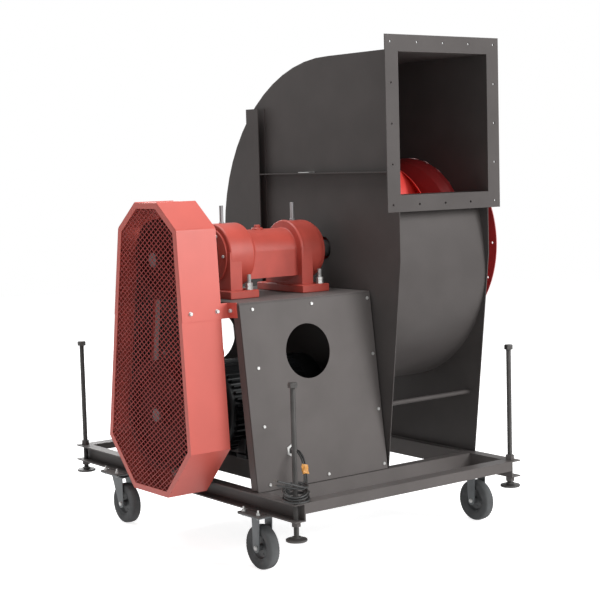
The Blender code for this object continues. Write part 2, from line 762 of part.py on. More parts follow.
def panel_stand(sign):
    """The matrix that stands a panel, drawn in X and slope length, on its leaning plane."""
    lean = math.atan2(PEDESTAL_BASE_HALF - PEDESTAL_TOP_HALF, panel_rise())
    foot = at(0, SHAFT_Y + sign * PEDESTAL_BASE_HALF, FRAME_TOP_Z + 2 * GAP)
    return foot @ Matrix.Rotation(sign * lean, 4, "X") @ FACING_Y


def stud_places():
    """The four studs of the bearing housing, in X and Y."""
    return [(x + STUD_OFFSET, SHAFT_Y + sign * STUD_FROM_AXIS) for x in BEARING_X for sign in (-1, 1)]


def build_pedestal(shop):
    """Four welded posts with rails and a thick top plate, and the front and rear panels."""
    left, right = PEDESTAL_LEFT_X, PEDESTAL_RIGHT_X
    mid_x = (left + right) / 2
    top = box((right - left, 2 * PEDESTAL_TOP_HALF, TOP_PLATE_T))
    top_z = PEDESTAL_TOP_Z - TOP_PLATE_T / 2
    top.transform(at(mid_x, SHAFT_Y, top_z))
    frame = shop.add("pedestal_frame", top, "frame")

    skin = PANEL_T + GAP
    post = ((0, 0), (POST_LEG, 0), (POST_LEG, POST_WALL), (POST_WALL, POST_WALL), (POST_WALL, POST_LEG),
            (0, POST_LEG))
    post_from, post_to = POST_CUT, panel_length() + POST_CUT
    rail = box((right - left - 2 * POST_LEG + 0.050, POST_LEG, POST_WALL))
    posts = []
    rails = []
    for row, sign in ROW_SIGNS.items():
        stand = panel_stand(sign)
        for x, hand in ((left, 1), (right, -1)):
            section = [(x + hand * (across + WELD), -sign * (skin + inwards)) for across, inwards in post]
            lengthwise = stand @ at(y=(post_from + post_to) / 2) @ ALONG_Y
            posts.append((flat([section], post_to - post_from), lengthwise))
        depth = sign * (skin + 1.5 * POST_WALL - WELD)
        rail_from_end = POST_LEG / 2 + POST_CUT + WELD
        for up in (rail_from_end, panel_length() - rail_from_end):
            rails.append((rail, stand @ at(mid_x, up, depth)))

        width = right - left - PANEL_INSET_X
        middle = panel_length() / 2
        loops = [rectangle(width, panel_length() - PANEL_TRIM, (right - width / 2, middle))]
        loops.append(circle(PANEL_HOLE_RADIUS, 32, (PANEL_HOLE_X, up_slope(PANEL_HOLE_Z))))
        if row == "front":
            loops.append(circle(GLAND_NECK + 2 * GAP, 16, (GLAND_X, up_slope(GLAND_Z))))
        panel = flat(loops, PANEL_T)
        panel.transform(at(z=sign * PANEL_T / 2))
        panel.transform(stand)
        shop.add(f"pedestal_{row}_panel", panel, "frame")
    shop.cut(frame, joined(posts), "UNION")
    shop.cut(frame, joined(rails), "UNION")
    bore = bolt_bore(STUD_RADIUS, 3 * TOP_PLATE_T)
    shop.cut(frame, joined([(bore, at(x, y, top_z)) for x, y in stud_places()]))


def build_bearing_unit(shop):
    """A one-piece tube housing on two pairs of feet, with its wells, plug, bearings and covers."""
    first, second = BEARING_X
    start = first - BELL_HALF_WIDTH
    end = second + BELL_HALF_WIDTH
    profile = [(BELL_RADIUS, start), (BELL_RADIUS, first + BELL_HALF_WIDTH - 0.010)]
    profile += [(BELL_RADIUS - 0.012, first + BELL_HALF_WIDTH), (TUBE_RADIUS, first + BELL_HALF_WIDTH + 0.018)]
    profile += [(TUBE_RADIUS, second - BELL_HALF_WIDTH - 0.006), (BELL_RADIUS, second - BELL_HALF_WIDTH)]
    profile += [(BELL_RADIUS, end - 0.022), (BELL_RADIUS - 0.008, end - 0.006), (BELL_RADIUS - 0.020, end)]
    profile += [(HOUSING_BORE, end), (HOUSING_BORE, start)]
    body = turned(profile, 20, closed=True)
    body.transform(ALONG_X)
    place = (0, SHAFT_Y, SHAFT_Z)
    housing = shop.add("bearing_housing", body, "red", place)
    floor = PEDESTAL_TOP_Z + GAP - SHAFT_Z
    foot_top = floor + FOOT_HEIGHT
    toe = FOOT_HALF_SPAN - 0.006
    waist = BELL_RADIUS - 0.003
    web = [(-toe, floor + 0.004), (toe, floor + 0.004), (toe, foot_top - 0.004), (waist, 0.012)]
    web += arc((0, 0), HOUSING_BORE + 0.010, -5, -175, 10)
    web += [(-waist, 0.012), (-toe, foot_top - 0.004)]
    leg = flat([web], LEG_T)
    shop.cut(housing, joined([(leg, at(x=x + LEG_OFFSET) @ FACING_X) for x in BEARING_X]), "UNION")
    side = STUD_OFFSET - FOOT_OFFSET
    loops = [rectangle(FOOT_LENGTH, 2 * FOOT_HALF_SPAN)]
    loops += [bolt_hole(STUD_RADIUS, (side, sign * STUD_FROM_AXIS)) for sign in (-1, 1)]
    foot = flat(loops, FOOT_HEIGHT)
    places = [at(x=x + FOOT_OFFSET, z=floor + FOOT_HEIGHT / 2) for x in BEARING_X]
    shop.cut(housing, joined([(foot, foot_at) for foot_at in places]), "UNION")

    well_foot = BELL_RADIUS - 0.020
    well_rise = WELL_TOP_Z - SHAFT_Z - well_foot
    well = cylinder(WELL_RADIUS, well_rise, 8)
    fittings = [(well, at(x + WELL_OFFSET, 0, well_foot + well_rise / 2)) for x in BEARING_X]
    plug_foot = TUBE_RADIUS - 0.008
    plug = turned([
        (0, PLUG_TOP_Z - SHAFT_Z),
        (PLUG_RADIUS, PLUG_TOP_Z - SHAFT_Z),
        (PLUG_RADIUS, TUBE_RADIUS + PLUG_BASE_HEIGHT),
        (PLUG_BASE_RADIUS, TUBE_RADIUS + PLUG_BASE_HEIGHT),
        (PLUG_BASE_RADIUS, plug_foot),
        (0, plug_foot),
    ], 6)
    fittings.append((plug, at(PLUG_X)))
    shop.cut(housing, joined(fittings), "UNION")

    cover_starts = {"left": start - GAP - COVER_T, "right": end + GAP}
    half = BEARING_WIDTH / 2
    for (side, x), middle in zip(cover_starts.items(), BEARING_X):
        cover = bar_along_x(COVER_RADIUS, x, x + COVER_T, 20, SHAFT_RADIUS + 0.004)
        shop.add(f"bearing_cover_{side}", cover, "red", place)
        race = bar_along_x(HOUSING_BORE - 0.001, middle - half, middle + half, 20, SHAFT_RADIUS + 0.001)
        shop.add(f"bearing_{side}", race, "steel", place)


def pulley(radius, shaft_radius):
    """A grooved pulley turned about Z with a rim, a web and a hub."""
    bore = (shaft_radius + GAP) / math.cos(math.pi / PULLEY_STEPS)
    half = BELT_COUNT / 2 * BELT_PITCH + PULLEY_EDGE
    rim_inside = radius - GROOVE_DEPTH - PULLEY_RIM_WALL
    profile = [(bore, half), (PULLEY_HUB_RADIUS, half), (PULLEY_HUB_RADIUS, 0.010)]
    profile += [(rim_inside, 0.010), (rim_inside, half), (radius, half)]
    for i in range(BELT_COUNT):
        middle = ((BELT_COUNT - 1) / 2 - i) * BELT_PITCH
        profile += [(radius, middle + GROOVE_MOUTH / 2), (radius - GROOVE_DEPTH, middle + GROOVE_FLOOR / 2)]
        profile += [(radius - GROOVE_DEPTH, middle - GROOVE_FLOOR / 2), (radius, middle - GROOVE_MOUTH / 2)]
    profile += [(radius, -half), (rim_inside, -half), (rim_inside, -0.010), (PULLEY_HUB_RADIUS, -0.010)]
    profile += [(PULLEY_HUB_RADIUS, -half), (bore, -half)]
    return turned(profile, PULLEY_STEPS, closed=True)


def belt_loop(extra):
    """A belt's outline in Y and Z round both pulleys, a given height above its inner side."""
    lower, upper = (MOTOR_Y, MOTOR_Z), (SHAFT_Y, SHAFT_Z)
    apart = math.hypot(upper[0] - lower[0], upper[1] - lower[1])
    line = math.degrees(math.atan2(upper[1] - lower[1], upper[0] - lower[0]))
    spread = math.degrees(math.acos((MOTOR_PULLEY_RADIUS - FAN_PULLEY_RADIUS) / apart))
    turns = ((lower, MOTOR_PULLEY_RADIUS, line + spread, line + 360 - spread),
             (upper, FAN_PULLEY_RADIUS, line - spread, line + spread))
    loop = []
    for centre, radius, start, end in turns:
        step = math.radians((end - start) / BELT_ARC_STEPS)
        inner = (radius - GROOVE_DEPTH + GAP) / math.cos(step / 2)
        loop += arc(centre, inner + extra, start, end, BELT_ARC_STEPS)
    return loop


def build_drive(shop, fan_axis, motor_axis):
    """Fan shaft, motor shaft, the two pulleys and the V-belts."""
    right = HUB_X[1] - 0.005
    shaft = turned([
        (0, SHAFT_LEFT_X),
        (SHAFT_NOSE_RADIUS, SHAFT_LEFT_X),
        (SHAFT_NOSE_RADIUS, SHAFT_SHOULDER_X),
        (SHAFT_RADIUS, SHAFT_SHOULDER_X),
        (SHAFT_RADIUS, right),
        (0, right),
    ], 20)
    shaft.transform(ALONG_X)
    shop.add("fan_shaft", shaft, "steel", parent=fan_axis)
    shop.add("motor_shaft", bar_along_x(MOTOR_SHAFT_RADIUS, *MOTOR_SHAFT_X), "steel", parent=motor_axis)
    upper = pulley(FAN_PULLEY_RADIUS, SHAFT_NOSE_RADIUS)
    lower = pulley(MOTOR_PULLEY_RADIUS, MOTOR_SHAFT_RADIUS)
    quarter = (0, math.pi / 2, 0)
    shop.add("fan_pulley", upper, "iron", (PULLEY_MID_X, 0, 0), quarter, fan_axis)
    shop.add("motor_pulley", lower, "iron", (PULLEY_MID_X, 0, 0), quarter, motor_axis)
    back = GROOVE_DEPTH + BELT_BACK_CLEARANCE
    reach = ((BELT_COUNT - 1) * BELT_PITCH + BELT_WIDTH) / 2
    section = [(-reach, back + BELT_BACK_T), (reach, back + BELT_BACK_T)]
    for i in range(BELT_COUNT):
        middle = ((BELT_COUNT - 1) / 2 - i) * BELT_PITCH
        right, left = middle + BELT_WIDTH / 2, middle - BELT_WIDTH / 2
        section += [(right, back), (right, 0), (left, 0), (left, back)]
    section = section[:2] + section[3:-1]
    rings = [[(PULLEY_MID_X + x, y, z) for y, z in belt_loop(height)] for x, height in section]
    shop.add("v_belt_band", lofted(rings), "belt")


def build_motor(shop):
    """A foot-mounted motor on two cross rails, with its terminal box, cowl and lifting eye."""
    start, end = MOTOR_BODY_X
    low, high = MOTOR_FIN_RADII
    fins = []
    for i in range(FIN_COUNT):
        middle = 360 * i / FIN_COUNT
        for radius, side in ((low, -3.4), (high, -1.6), (high, 1.6), (low, 3.4)):
            turn = math.radians(middle + side)
            fins.append((radius * math.cos(turn), radius * math.sin(turn)))
    bore = MOTOR_SHAFT_RADIUS + 0.002
    stator = flat([fins, circle(bore, 16)], end - start)
    stator.transform(at(x=(start + end) / 2) @ FACING_X)
    body = shop.add("motor_body", stator, "black", (0, MOTOR_Y, MOTOR_Z))
    shield = bar_along_x(SHIELD_RADIUS, start - SHIELD_T, start + WELD, 24, bore + WELD)
    foot = box(MOTOR_FOOT)
    foot_z = MOTOR_FOOT[2] / 2 - MOTOR_SHAFT_HEIGHT + GAP
    added = [(shield, at())]
    added += [(foot, at((start + end) / 2, sign * MOTOR_FOOT_Y, foot_z)) for sign in (-1, 1)]
    eye = turned([(EYE_RADIUS + y, z) for y, z in circle(EYE_BAR, 6)], 12, closed=True)
    added.append((eye, at(EYE_X, 0, high + EYE_RADIUS + EYE_BAR / 2) @ ALONG_X))
    shop.cut(body, joined(added), "UNION")

    wall = 0.003
    cowl = turned([
        (0, COWL_LENGTH),
        (COWL_RADIUS - 0.025, COWL_LENGTH),
        (COWL_RADIUS, COWL_LENGTH - 0.030),
        (COWL_RADIUS, 0),
        (COWL_RADIUS - wall, 0),
        (COWL_RADIUS - wall, COWL_LENGTH - 0.032),
        (COWL_RADIUS - 0.028, COWL_LENGTH - 0.004),
        (0, COWL_LENGTH - 0.004),
    ], 20)
    cowl.transform(ALONG_X)
    shop.add("motor_fan_cowl", cowl, "black", (end + GAP, MOTOR_Y, MOTOR_Z))
    box_y = MOTOR_Y - high - GAP - TERMINAL_BOX[1] / 2
    terminal = shop.add("motor_terminal_box", box(TERMINAL_BOX), "black", (TERMINAL_BOX_X, box_y, MOTOR_Z))
    bevel = terminal.modifiers.new("edges", "BEVEL")
    bevel.width = 0.006
    bevel.segments = 2

    top = MOTOR_Z - MOTOR_SHAFT_HEIGHT
    bottom = FRAME_TOP_Z + GAP
    half = RAIL_WIDTH / 2
    inner = half - RAIL_WALL
    section = [(-half, bottom), (-inner, bottom), (-inner, top - RAIL_WALL), (inner, top - RAIL_WALL)]
    section += [(inner, bottom), (half, bottom), (half, top), (-half, top)]
    reach = 2 * PEDESTAL_BASE_HALF - 0.060
    for side, x in zip(SIDE_SIGNS, RAIL_X):
        rail = flat([section], reach)
        rail.transform(at(x=x, y=SHAFT_Y) @ FACING_Y)
        shop.add(f"motor_rail_{side}", rail, "frame")


def wrap_path():
    """The scroll sheet's path in Y and Z: outlet top, spiral, tongue and outlet floor."""
    path = [(FLANGE_BACK_Y, OUTLET_TOP_Z + SHEET_T / 2)]
    steps = 34
    for i in range(steps + 1):
        angle = WRAP_END + (WRAP_START - WRAP_END) * i / steps
        share = max(angle, 0) / WRAP_END
        radius = WRAP_FRONT_RADIUS + (WRAP_TOP_RADIUS - WRAP_FRONT_RADIUS) * share ** WRAP_GROWTH_POWER
        radius += SHEET_T / 2
        turn = math.radians(angle)
        path.append((SHAFT_Y - radius * math.cos(turn), SHAFT_Z - radius * math.sin(turn)))
    path += arc(TONGUE_CENTRE, TONGUE_RADIUS, -60, 90, 6)
    path.append((FLANGE_BACK_Y, OUTLET_BOTTOM_Z - SHEET_T / 2))
    return path


def plate_outline():
    """A casing side plate's outline in Y and Z, counter-clockwise."""
    top = OUTLET_TOP_Z + PLATE_TOP_MARGIN
    loop = [(FLANGE_BACK_Y + PLATE_TAPER, CASING_BASE_Z), (PLATE_REAR_Y - PLATE_TAPER, CASING_BASE_Z)]
    loop.append((PLATE_REAR_Y, PLATE_TAPER_Z))
    across, up = PLATE_ARC_TOP_Y - SHAFT_Y, top - SHAFT_Z
    reach = math.hypot(across, up)
    sweep = math.atan2(up, across)
    steps = 16
    for i in range(steps + 1):
        share = i / steps
        radius = PLATE_REAR_RADIUS + (reach - PLATE_REAR_RADIUS) * share
        loop.append((SHAFT_Y + radius * math.cos(sweep * share), SHAFT_Z + radius * math.sin(sweep * share)))
    return loop + [(FLANGE_BACK_Y, top), (FLANGE_BACK_Y, PLATE_TAPER_Z)]


def flange_holes():
    """Bolt holes of the outlet flange in X and Z, evenly spaced along each side."""
    half_x = CASING_WIDTH / 2 + FLANGE_HOLE_OFFSET
    half_z = OUTLET_HEIGHT / 2 + FLANGE_HOLE_OFFSET
    holes = set()
    for i in range(FLANGE_HOLE_SPACES + 1):
        share = 2 * i / FLANGE_HOLE_SPACES - 1
        for sign in (-1, 1):
            holes.add((round(CASING_MID_X + share * half_x, 6), round(OUTLET_MID_Z + sign * half_z, 6)))
            holes.add((round(CASING_MID_X + sign * half_x, 6), round(OUTLET_MID_Z + share * half_z, 6)))
    return sorted(holes)


def stiffeners():
    """The drive plate's upright channel and level bar."""
    face = DRIVE_PLATE_X - SHEET_T / 2 + WELD
    front, back = UPRIGHT_RIB_Y
    outer = face - RIB_DEPTH
    wall = RIB_WALL
    section = [(face, front), (face, back), (outer, back), (outer, front), (outer + wall, front)]
    section += [(outer + wall, back - wall), (face - wall, back - wall), (face - wall, front)]
    rib_from = CASING_BASE_Z + 0.002
    upright = flat([section], UPRIGHT_RIB_TOP_Z - rib_from)
    bar_from, bar_to = FLANGE_BACK_Y + 0.004, front - 0.001
    bar = box((RIB_DEPTH, bar_to - bar_from, wall))
    bar_at = at(face - RIB_DEPTH / 2, (bar_from + bar_to) / 2, LEVEL_RIB_TOP_Z - wall / 2)
    return joined([(upright, at(z=(UPRIGHT_RIB_TOP_Z + rib_from) / 2)), (bar, bar_at)])


def build_casing(shop):
    """Side plates, scroll sheet, outlet flange, stiffeners, tie pipe and inlet cone."""
    centre = (SHAFT_Y, SHAFT_Z)
    drive = flat([plate_outline(), circle(SHAFT_HOLE_RADIUS, 28, centre)], SHEET_T)
    drive.transform(at(x=DRIVE_PLATE_X) @ FACING_X)
    shop.cut(shop.add("drive_side_plate", drive, "casing"), stiffeners(), "UNION")
    collar = (INLET_COLLAR_RADIUS + SHEET_T / 2 + GAP) / math.cos(math.pi / INLET_STEPS)
    inlet = flat([plate_outline(), circle(collar, INLET_STEPS, centre)], SHEET_T)
    inlet.transform(at(x=INLET_PLATE_X) @ FACING_X)
    shop.add("inlet_side_plate", inlet, "casing")
    clear = CASING_WIDTH - 2 * GAP
    wrap = flat([strip(wrap_path(), SHEET_T)], clear)
    wrap.transform(at(x=CASING_MID_X) @ FACING_X)
    shop.add("scroll_wrap", wrap, "casing")
    tie = cylinder(TIE_RADIUS, clear, 10)
    shop.add("tie_pipe", tie, "casing", (CASING_MID_X, TIE_Y, TIE_Z), (0, math.pi / 2, 0))

    middle = (CASING_MID_X, OUTLET_MID_Z)
    loops = [rectangle(CASING_WIDTH + 2 * FLANGE_LEG, OUTLET_HEIGHT + 2 * FLANGE_LEG, middle)]
    loops.append(rectangle(CASING_WIDTH, OUTLET_HEIGHT, middle))
    loops += [circle(FLANGE_HOLE_RADIUS, 6, hole) for hole in flange_holes()]
    flange = flat(loops, FLANGE_T)
    flange.transform(at(y=OUTLET_FACE_Y + FLANGE_T / 2) @ FACING_Y)
    shop.add("outlet_flange", flange, "casing")

    nozzle = [(INLET_FLANGE_RADIUS, INLET_FLANGE_X), (INLET_COLLAR_RADIUS, INLET_FLANGE_X)]
    cone = turned(strip(nozzle + list(INLET_NOZZLE), SHEET_T), INLET_STEPS, closed=True)
    cone.transform(ALONG_X)
    piece = shop.add("inlet_cone", cone, "red", (0, SHAFT_Y, SHAFT_Z))
    hole = bar_along_x(FLANGE_HOLE_RADIUS, INLET_FLANGE_X - 0.01, INLET_FLANGE_X + 0.01, 6)
    places = circle(INLET_HOLE_CIRCLE, INLET_HOLE_COUNT)
    shop.cut(piece, joined([(hole, at(0, y, z)) for y, z in places]))


def build_impeller(shop, fan_axis):
    """Hub, back plate, backward-curved blades with a stiffening hoop, and the inlet shroud."""
    half = BACK_PLATE_T / 2
    face = BACK_PLATE_X + half + GAP
    bore = SHAFT_RADIUS + 0.0006
    hub = turned([
        (bore, HUB_X[1]),
        (HUB_BARREL_RADIUS, HUB_X[1]),
        (HUB_BARREL_RADIUS, face + 0.012),
        (HUB_FLANGE_RADIUS, face + 0.012),
        (HUB_FLANGE_RADIUS, face),
        (HUB_BARREL_RADIUS, face),
        (HUB_BARREL_RADIUS, HUB_X[0]),
        (bore, HUB_X[0]),
    ], 20, closed=True)
    hub.transform(ALONG_X)
    shop.add("impeller_hub", hub, "iron", parent=fan_axis)
    ends = (BACK_PLATE_X - half, BACK_PLATE_X + half)
    plate = bar_along_x(IMPELLER_RADIUS, *ends, IMPELLER_STEPS, BACK_PLATE_BORE)
    wheel = shop.add("impeller_wheel", plate, "dark_red", parent=fan_axis)

    inner, outer = BLADE_RADII
    curve = []
    for i in range(BLADE_POINTS):
        share = i / (BLADE_POINTS - 1)
        radius = inner + (outer - inner) * share
        turn = math.radians(-BLADE_SWEEP * share ** 1.1)
        curve.append((radius * math.cos(turn), radius * math.sin(turn)))
    blade_from = ends[1] - WELD
    blade = flat([strip(curve, SHEET_T)], BLADE_END_X - blade_from)
    blades = []
    for i in range(BLADE_COUNT):
        turn = Matrix.Rotation(2 * math.pi * i / BLADE_COUNT, 4, "X")
        blades.append((blade, turn @ at(x=(blade_from + BLADE_END_X) / 2) @ FACING_X))
    shop.cut(wheel, joined(blades), "UNION")
    shroud = turned(strip(list(SHROUD), SHEET_T), IMPELLER_STEPS, closed=True)
    hoop = cylinder(IMPELLER_RADIUS, HOOP_WIDTH, IMPELLER_STEPS, bore=IMPELLER_RADIUS - HOOP_T)
    shop.cut(wheel, joined([(shroud, ALONG_X), (hoop, at(x=HOOP_X) @ ALONG_X)]), "UNION")


def guard_outline():
    """The belt guard's outline in Y and Z, counter-clockwise."""
    levels = (GUARD_BOTTOM, GUARD_HIP, GUARD_SHOULDER, GUARD_TOP)
    right = [(middle + half, z) for z, half, middle in levels]
    left = [(middle - half, z) for z, half, middle in reversed(levels)]
    return right + left


def upper_strap():
    """The strap from the guard's leaning front wall to the pedestal's post, and its place."""
    shoulder_y = GUARD_SHOULDER[2] - GUARD_SHOULDER[1]
    hip_y = GUARD_HIP[2] - GUARD_HIP[1]
    slope = (shoulder_y - hip_y) / (GUARD_SHOULDER[0] - GUARD_HIP[0])
    y = shoulder_y - slope * (GUARD_SHOULDER[0] - STRAP_Z) + WELD - STRAP_T / 2
    x = PEDESTAL_LEFT_X - GAP - STRAP_T / 2
    path = [(GUARD_BACK_X - STRAP_OVERLAP, 0), (x, 0), (x, -STRAP_TAB)]
    strap = flat([strip(path, STRAP_T)], STRAP_WIDTH)
    return strap, at(0, y, STRAP_Z) @ Matrix.Rotation(-math.atan(slope), 4, "X")


def build_guard(shop):
    """A sheet belt guard with a bordered mesh face, an upper strap and a foot bracket."""
    outline = guard_outline()
    depth = GUARD_BACK_X - GUARD_FACE_X
    block = flat([outline], depth)
    block.transform(at(x=(GUARD_FACE_X + GUARD_BACK_X) / 2) @ FACING_X)
    case = shop.add("guard_case", block, "red")
    hollow = flat([inset(outline, GUARD_SHEET)], depth)
    shop.cut(case, joined([(hollow, at(x=GUARD_FACE_X + GUARD_SHEET + depth / 2) @ FACING_X)]))
    opening = flat([inset(outline, GUARD_BORDER)], 5 * GUARD_SHEET)
    shop.cut(case, joined([(opening, at(x=GUARD_FACE_X) @ FACING_X)]))

    foot_z = GUARD_BOTTOM[0] + WELD - STRAP_T / 2
    web_face = -(WEB_X + CHANNEL_WALL + GAP + STRAP_T / 2)
    bracket = [(GUARD_BACK_X - BRACKET_OVERLAP, foot_z), (web_face, foot_z), (web_face, foot_z + BRACKET_RISE)]
    foot = flat([strip(bracket, STRAP_T)], STRAP_WIDTH)
    shop.cut(case, joined([upper_strap(), (foot, at(y=GUARD_BOTTOM[2]) @ FACING_Y)]), "UNION")

    mesh = flat([inset(outline, GUARD_SHEET + 0.001)], GUARD_SHEET)
    mesh.transform(at(x=GUARD_FACE_X + 1.5 * GUARD_SHEET + GAP) @ FACING_X)
    shop.add("guard_mesh", mesh, "red")


def build_cable(shop):
    """The bush on the front panel, two taped leads, and their coil round the front left jack."""
    stand = panel_stand(-1)
    up = up_slope(GLAND_Z)
    gland = turned([
        (0, GLAND_FACE),
        (GLAND_RADIUS - 0.008, GLAND_FACE),
        (GLAND_RADIUS, 0.003),
        (GLAND_RADIUS, GAP),
        (GLAND_NECK, GAP),
        (GLAND_NECK, -PANEL_T - 0.010),
        (0, -PANEL_T - 0.010),
    ], 16)
    gland.transform(stand @ at(GLAND_X, up))
    shop.add("cable_gland", gland, "cable")

    for name, sign in (("left", -1), ("right", 1)):
        curve = bpy.data.curves.new("cable", "CURVE")
        curve.dimensions = "3D"
        curve.fill_mode = "FULL"
        curve.bevel_depth = LEAD_RADIUS
        curve.bevel_resolution = 2
        curve.use_fill_caps = True
        apart = sign * LEAD_SPACING / 2
        guide = []
        for out in (GLAND_FACE + 0.001, GLAND_FACE + 0.040):
            guide.append(tuple((stand @ at(GLAND_X + apart, up, out)).translation))
        for (x, y, z), (away_x, away_y) in LEAD_GUIDE:
            guide.append((x + apart * away_x, y + apart * away_y, z))
        add_smooth_run(curve, guide)
        helper = bpy.data.objects.new("cable", curve)
        shop.add(f"cable_lead_{name}", read_helper(helper), "cable")

    jack_x, jack_y = jack_place("front_left")
    ring = [(COIL_RADIUS + COIL_HALF_WIDTH * u, COIL_HALF_HEIGHT * v) for u, v in circle(1, 8)]
    coil_at = (jack_x, jack_y, FRAME_TOP_Z + GAP + COIL_HALF_HEIGHT)
    shop.add("cable_coil", turned(ring, 18, closed=True), "cable", coil_at)
    outer = [(TAPE_HALF[0] * u, TAPE_HALF[1] * v) for u, v in circle(1, 12)]
    inner = [(TAPE_BORE[0] * u, TAPE_BORE[1] * v) for u, v in circle(1, 12)]
    tape = flat([outer, inner], 2 * TAPE_HALF[2])
    shop.add("cable_tape", tape, "tape", TAPE_AT, (math.radians(TAPE_LEAN), 0, 0))


def add_smooth_run(curve, guide):
    """Add a run through guide points, read off a smooth curve at even steps."""
    dense = 4
    last = len(guide) - 1
    points = []
    for i in range(last):
        before = guide[max(i - 1, 0)]
        after = guide[min(i + 2, last)]
        for j in range(dense):
            t = j / dense
            points.append([blend(before[k], guide[i][k], guide[i + 1][k], after[k], t) for k in range(3)])
    points.append(list(guide[last]))
    spline = curve.splines.new("POLY")
    spline.points.add(len(points) - 1)
    for point, place in zip(spline.points, points):
        point.co = (*place, 1)


def blend(before, start, end, after, t):
    """One coordinate of a smooth curve through four guide values."""
    slope_in = (end - before) / 2
    slope_out = (after - start) / 2
    cube, square = t ** 3, t ** 2
    value = (2 * cube - 3 * square + 1) * start + (cube - 2 * square + t) * slope_in
    return value + (3 * square - 2 * cube) * end + (cube - square) * slope_out


def main():
    """Build the whole fan."""
    clear_scene()
    shop = Workshop()
    fan_axis = shop.empty("fan_axis", (0, SHAFT_Y, SHAFT_Z), shop.base)
    motor_axis = shop.empty("motor_axis", (0, MOTOR_Y, MOTOR_Z), shop.base)
    build_frame(shop)
    build_jacks(shop)
    build_casters(shop)
    build_pedestal(shop)
    build_bearing_unit(shop)
    build_drive(shop, fan_axis, motor_axis)
    build_motor(shop)
    build_casing(shop)
    build_impeller(shop, fan_axis)
    build_guard(shop)
    build_cable(shop)


main()
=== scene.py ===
"""Looks of a belt-driven centrifugal fan, laid out as a Blender add-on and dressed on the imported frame."""
import json
import math

import bmesh
import bpy
import numpy as np
from bpy.props import FloatProperty, FloatVectorProperty, IntProperty, PointerProperty
from mathutils import Matrix, Vector


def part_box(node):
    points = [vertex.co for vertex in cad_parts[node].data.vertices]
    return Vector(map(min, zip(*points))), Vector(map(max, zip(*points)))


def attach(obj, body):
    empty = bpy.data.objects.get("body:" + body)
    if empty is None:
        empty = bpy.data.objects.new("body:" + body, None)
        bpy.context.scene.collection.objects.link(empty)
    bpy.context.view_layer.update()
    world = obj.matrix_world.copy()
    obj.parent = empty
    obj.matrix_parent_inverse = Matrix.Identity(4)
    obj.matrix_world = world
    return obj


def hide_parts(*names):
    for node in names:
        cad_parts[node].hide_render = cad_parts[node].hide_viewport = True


bl_info = {
    "name": "Centrifugal Fan Dressing",
    "version": (1, 0, 0),
    "blender": (4, 5, 0),
    "location": "3D View > Sidebar > Fan",
    "description": "Builds the visible surfaces of a belt-driven centrifugal fan round its packed frame",
    "category": "Object",
}

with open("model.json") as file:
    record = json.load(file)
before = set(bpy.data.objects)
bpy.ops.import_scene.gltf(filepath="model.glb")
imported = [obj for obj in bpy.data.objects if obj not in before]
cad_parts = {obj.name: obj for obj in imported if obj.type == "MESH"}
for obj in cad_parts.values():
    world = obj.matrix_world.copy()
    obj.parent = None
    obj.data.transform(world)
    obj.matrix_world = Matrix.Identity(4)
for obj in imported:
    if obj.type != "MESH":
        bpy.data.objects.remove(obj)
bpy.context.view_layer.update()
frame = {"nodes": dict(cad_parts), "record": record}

# Metres, in the row frame
SHIFT = 0.0475                    # the drawing's own middle to the row's, along X
SKIN = 0.0003                     # room between a surface and the solid that it covers
SHAFT_YZ = (-0.200, 1.362)
MOTOR_YZ = (-0.157, 0.650)
PULLEY_MID_X = -0.800 + SHIFT
FAN_PULLEY = 0.180
MOTOR_PULLEY = 0.250
GROOVE_DEPTH = 0.020
BELT_PITCH = 0.0255
BELT_COUNT = 4
BEARING_X = (-0.480 + SHIFT, -0.070 + SHIFT)
BELL_RADIUS = 0.148
BELL_HALF = 0.072
TUBE_RADIUS = 0.111
NOTCH_RADIUS = 0.105              # round under the tube, cut out of the housing's webs
HOUSING_BORE = 0.095
HOUSING_FOOT = (0.159, 0.370, 0.036)
COVER_RADIUS = 0.126
COVER_T = 0.012
STUD_FROM_AXIS = 0.156
MOTOR_X = (-0.550 + SHIFT, -0.130 + SHIFT)
MOTOR_RIBS = 0.196                # radius of the motor's barrel between its fins
FIN_HEIGHT = 0.020
MOTOR_DROP = 0.225                # from the motor's axis down to its feet
PEDESTAL_X = (-0.657 + SHIFT, 0.093 + SHIFT)
PEDESTAL_TOP = 1.170
PANEL_FOOT_Z = 0.3376
PANEL_LEAN = math.atan2(0.105, 0.8218)
PANEL_FOOT_HALF = 0.455
PANEL_HOLE = (-0.303 + SHIFT, 0.928)
PANEL_HOLE_RADIUS = 0.125
PANEL_SCREW_Z = (0.363, 0.619, 0.878, 1.138)
CASING_X = (0.1525, 0.7105)
SCROLL_RADII = (0.530, 0.908)     # at the tongue and at the top of the outlet
SHEET_HALF = 0.002
OUTLET_Y = -0.7685
OUTLET_TOP = 2.272
TONGUE = (-0.620, 1.598)
TONGUE_RADIUS = 0.020
INLET_END_X = 0.8575
INLET_HOLES = (0.452, 16)         # radius of their circle, and how many
IMPELLER_RADIUS = 0.400
BLADES = 12
BLADE_SWEEP = 34                  # degrees from a blade's heel to its tip
GUARD_X = (-0.8575, -0.6495)
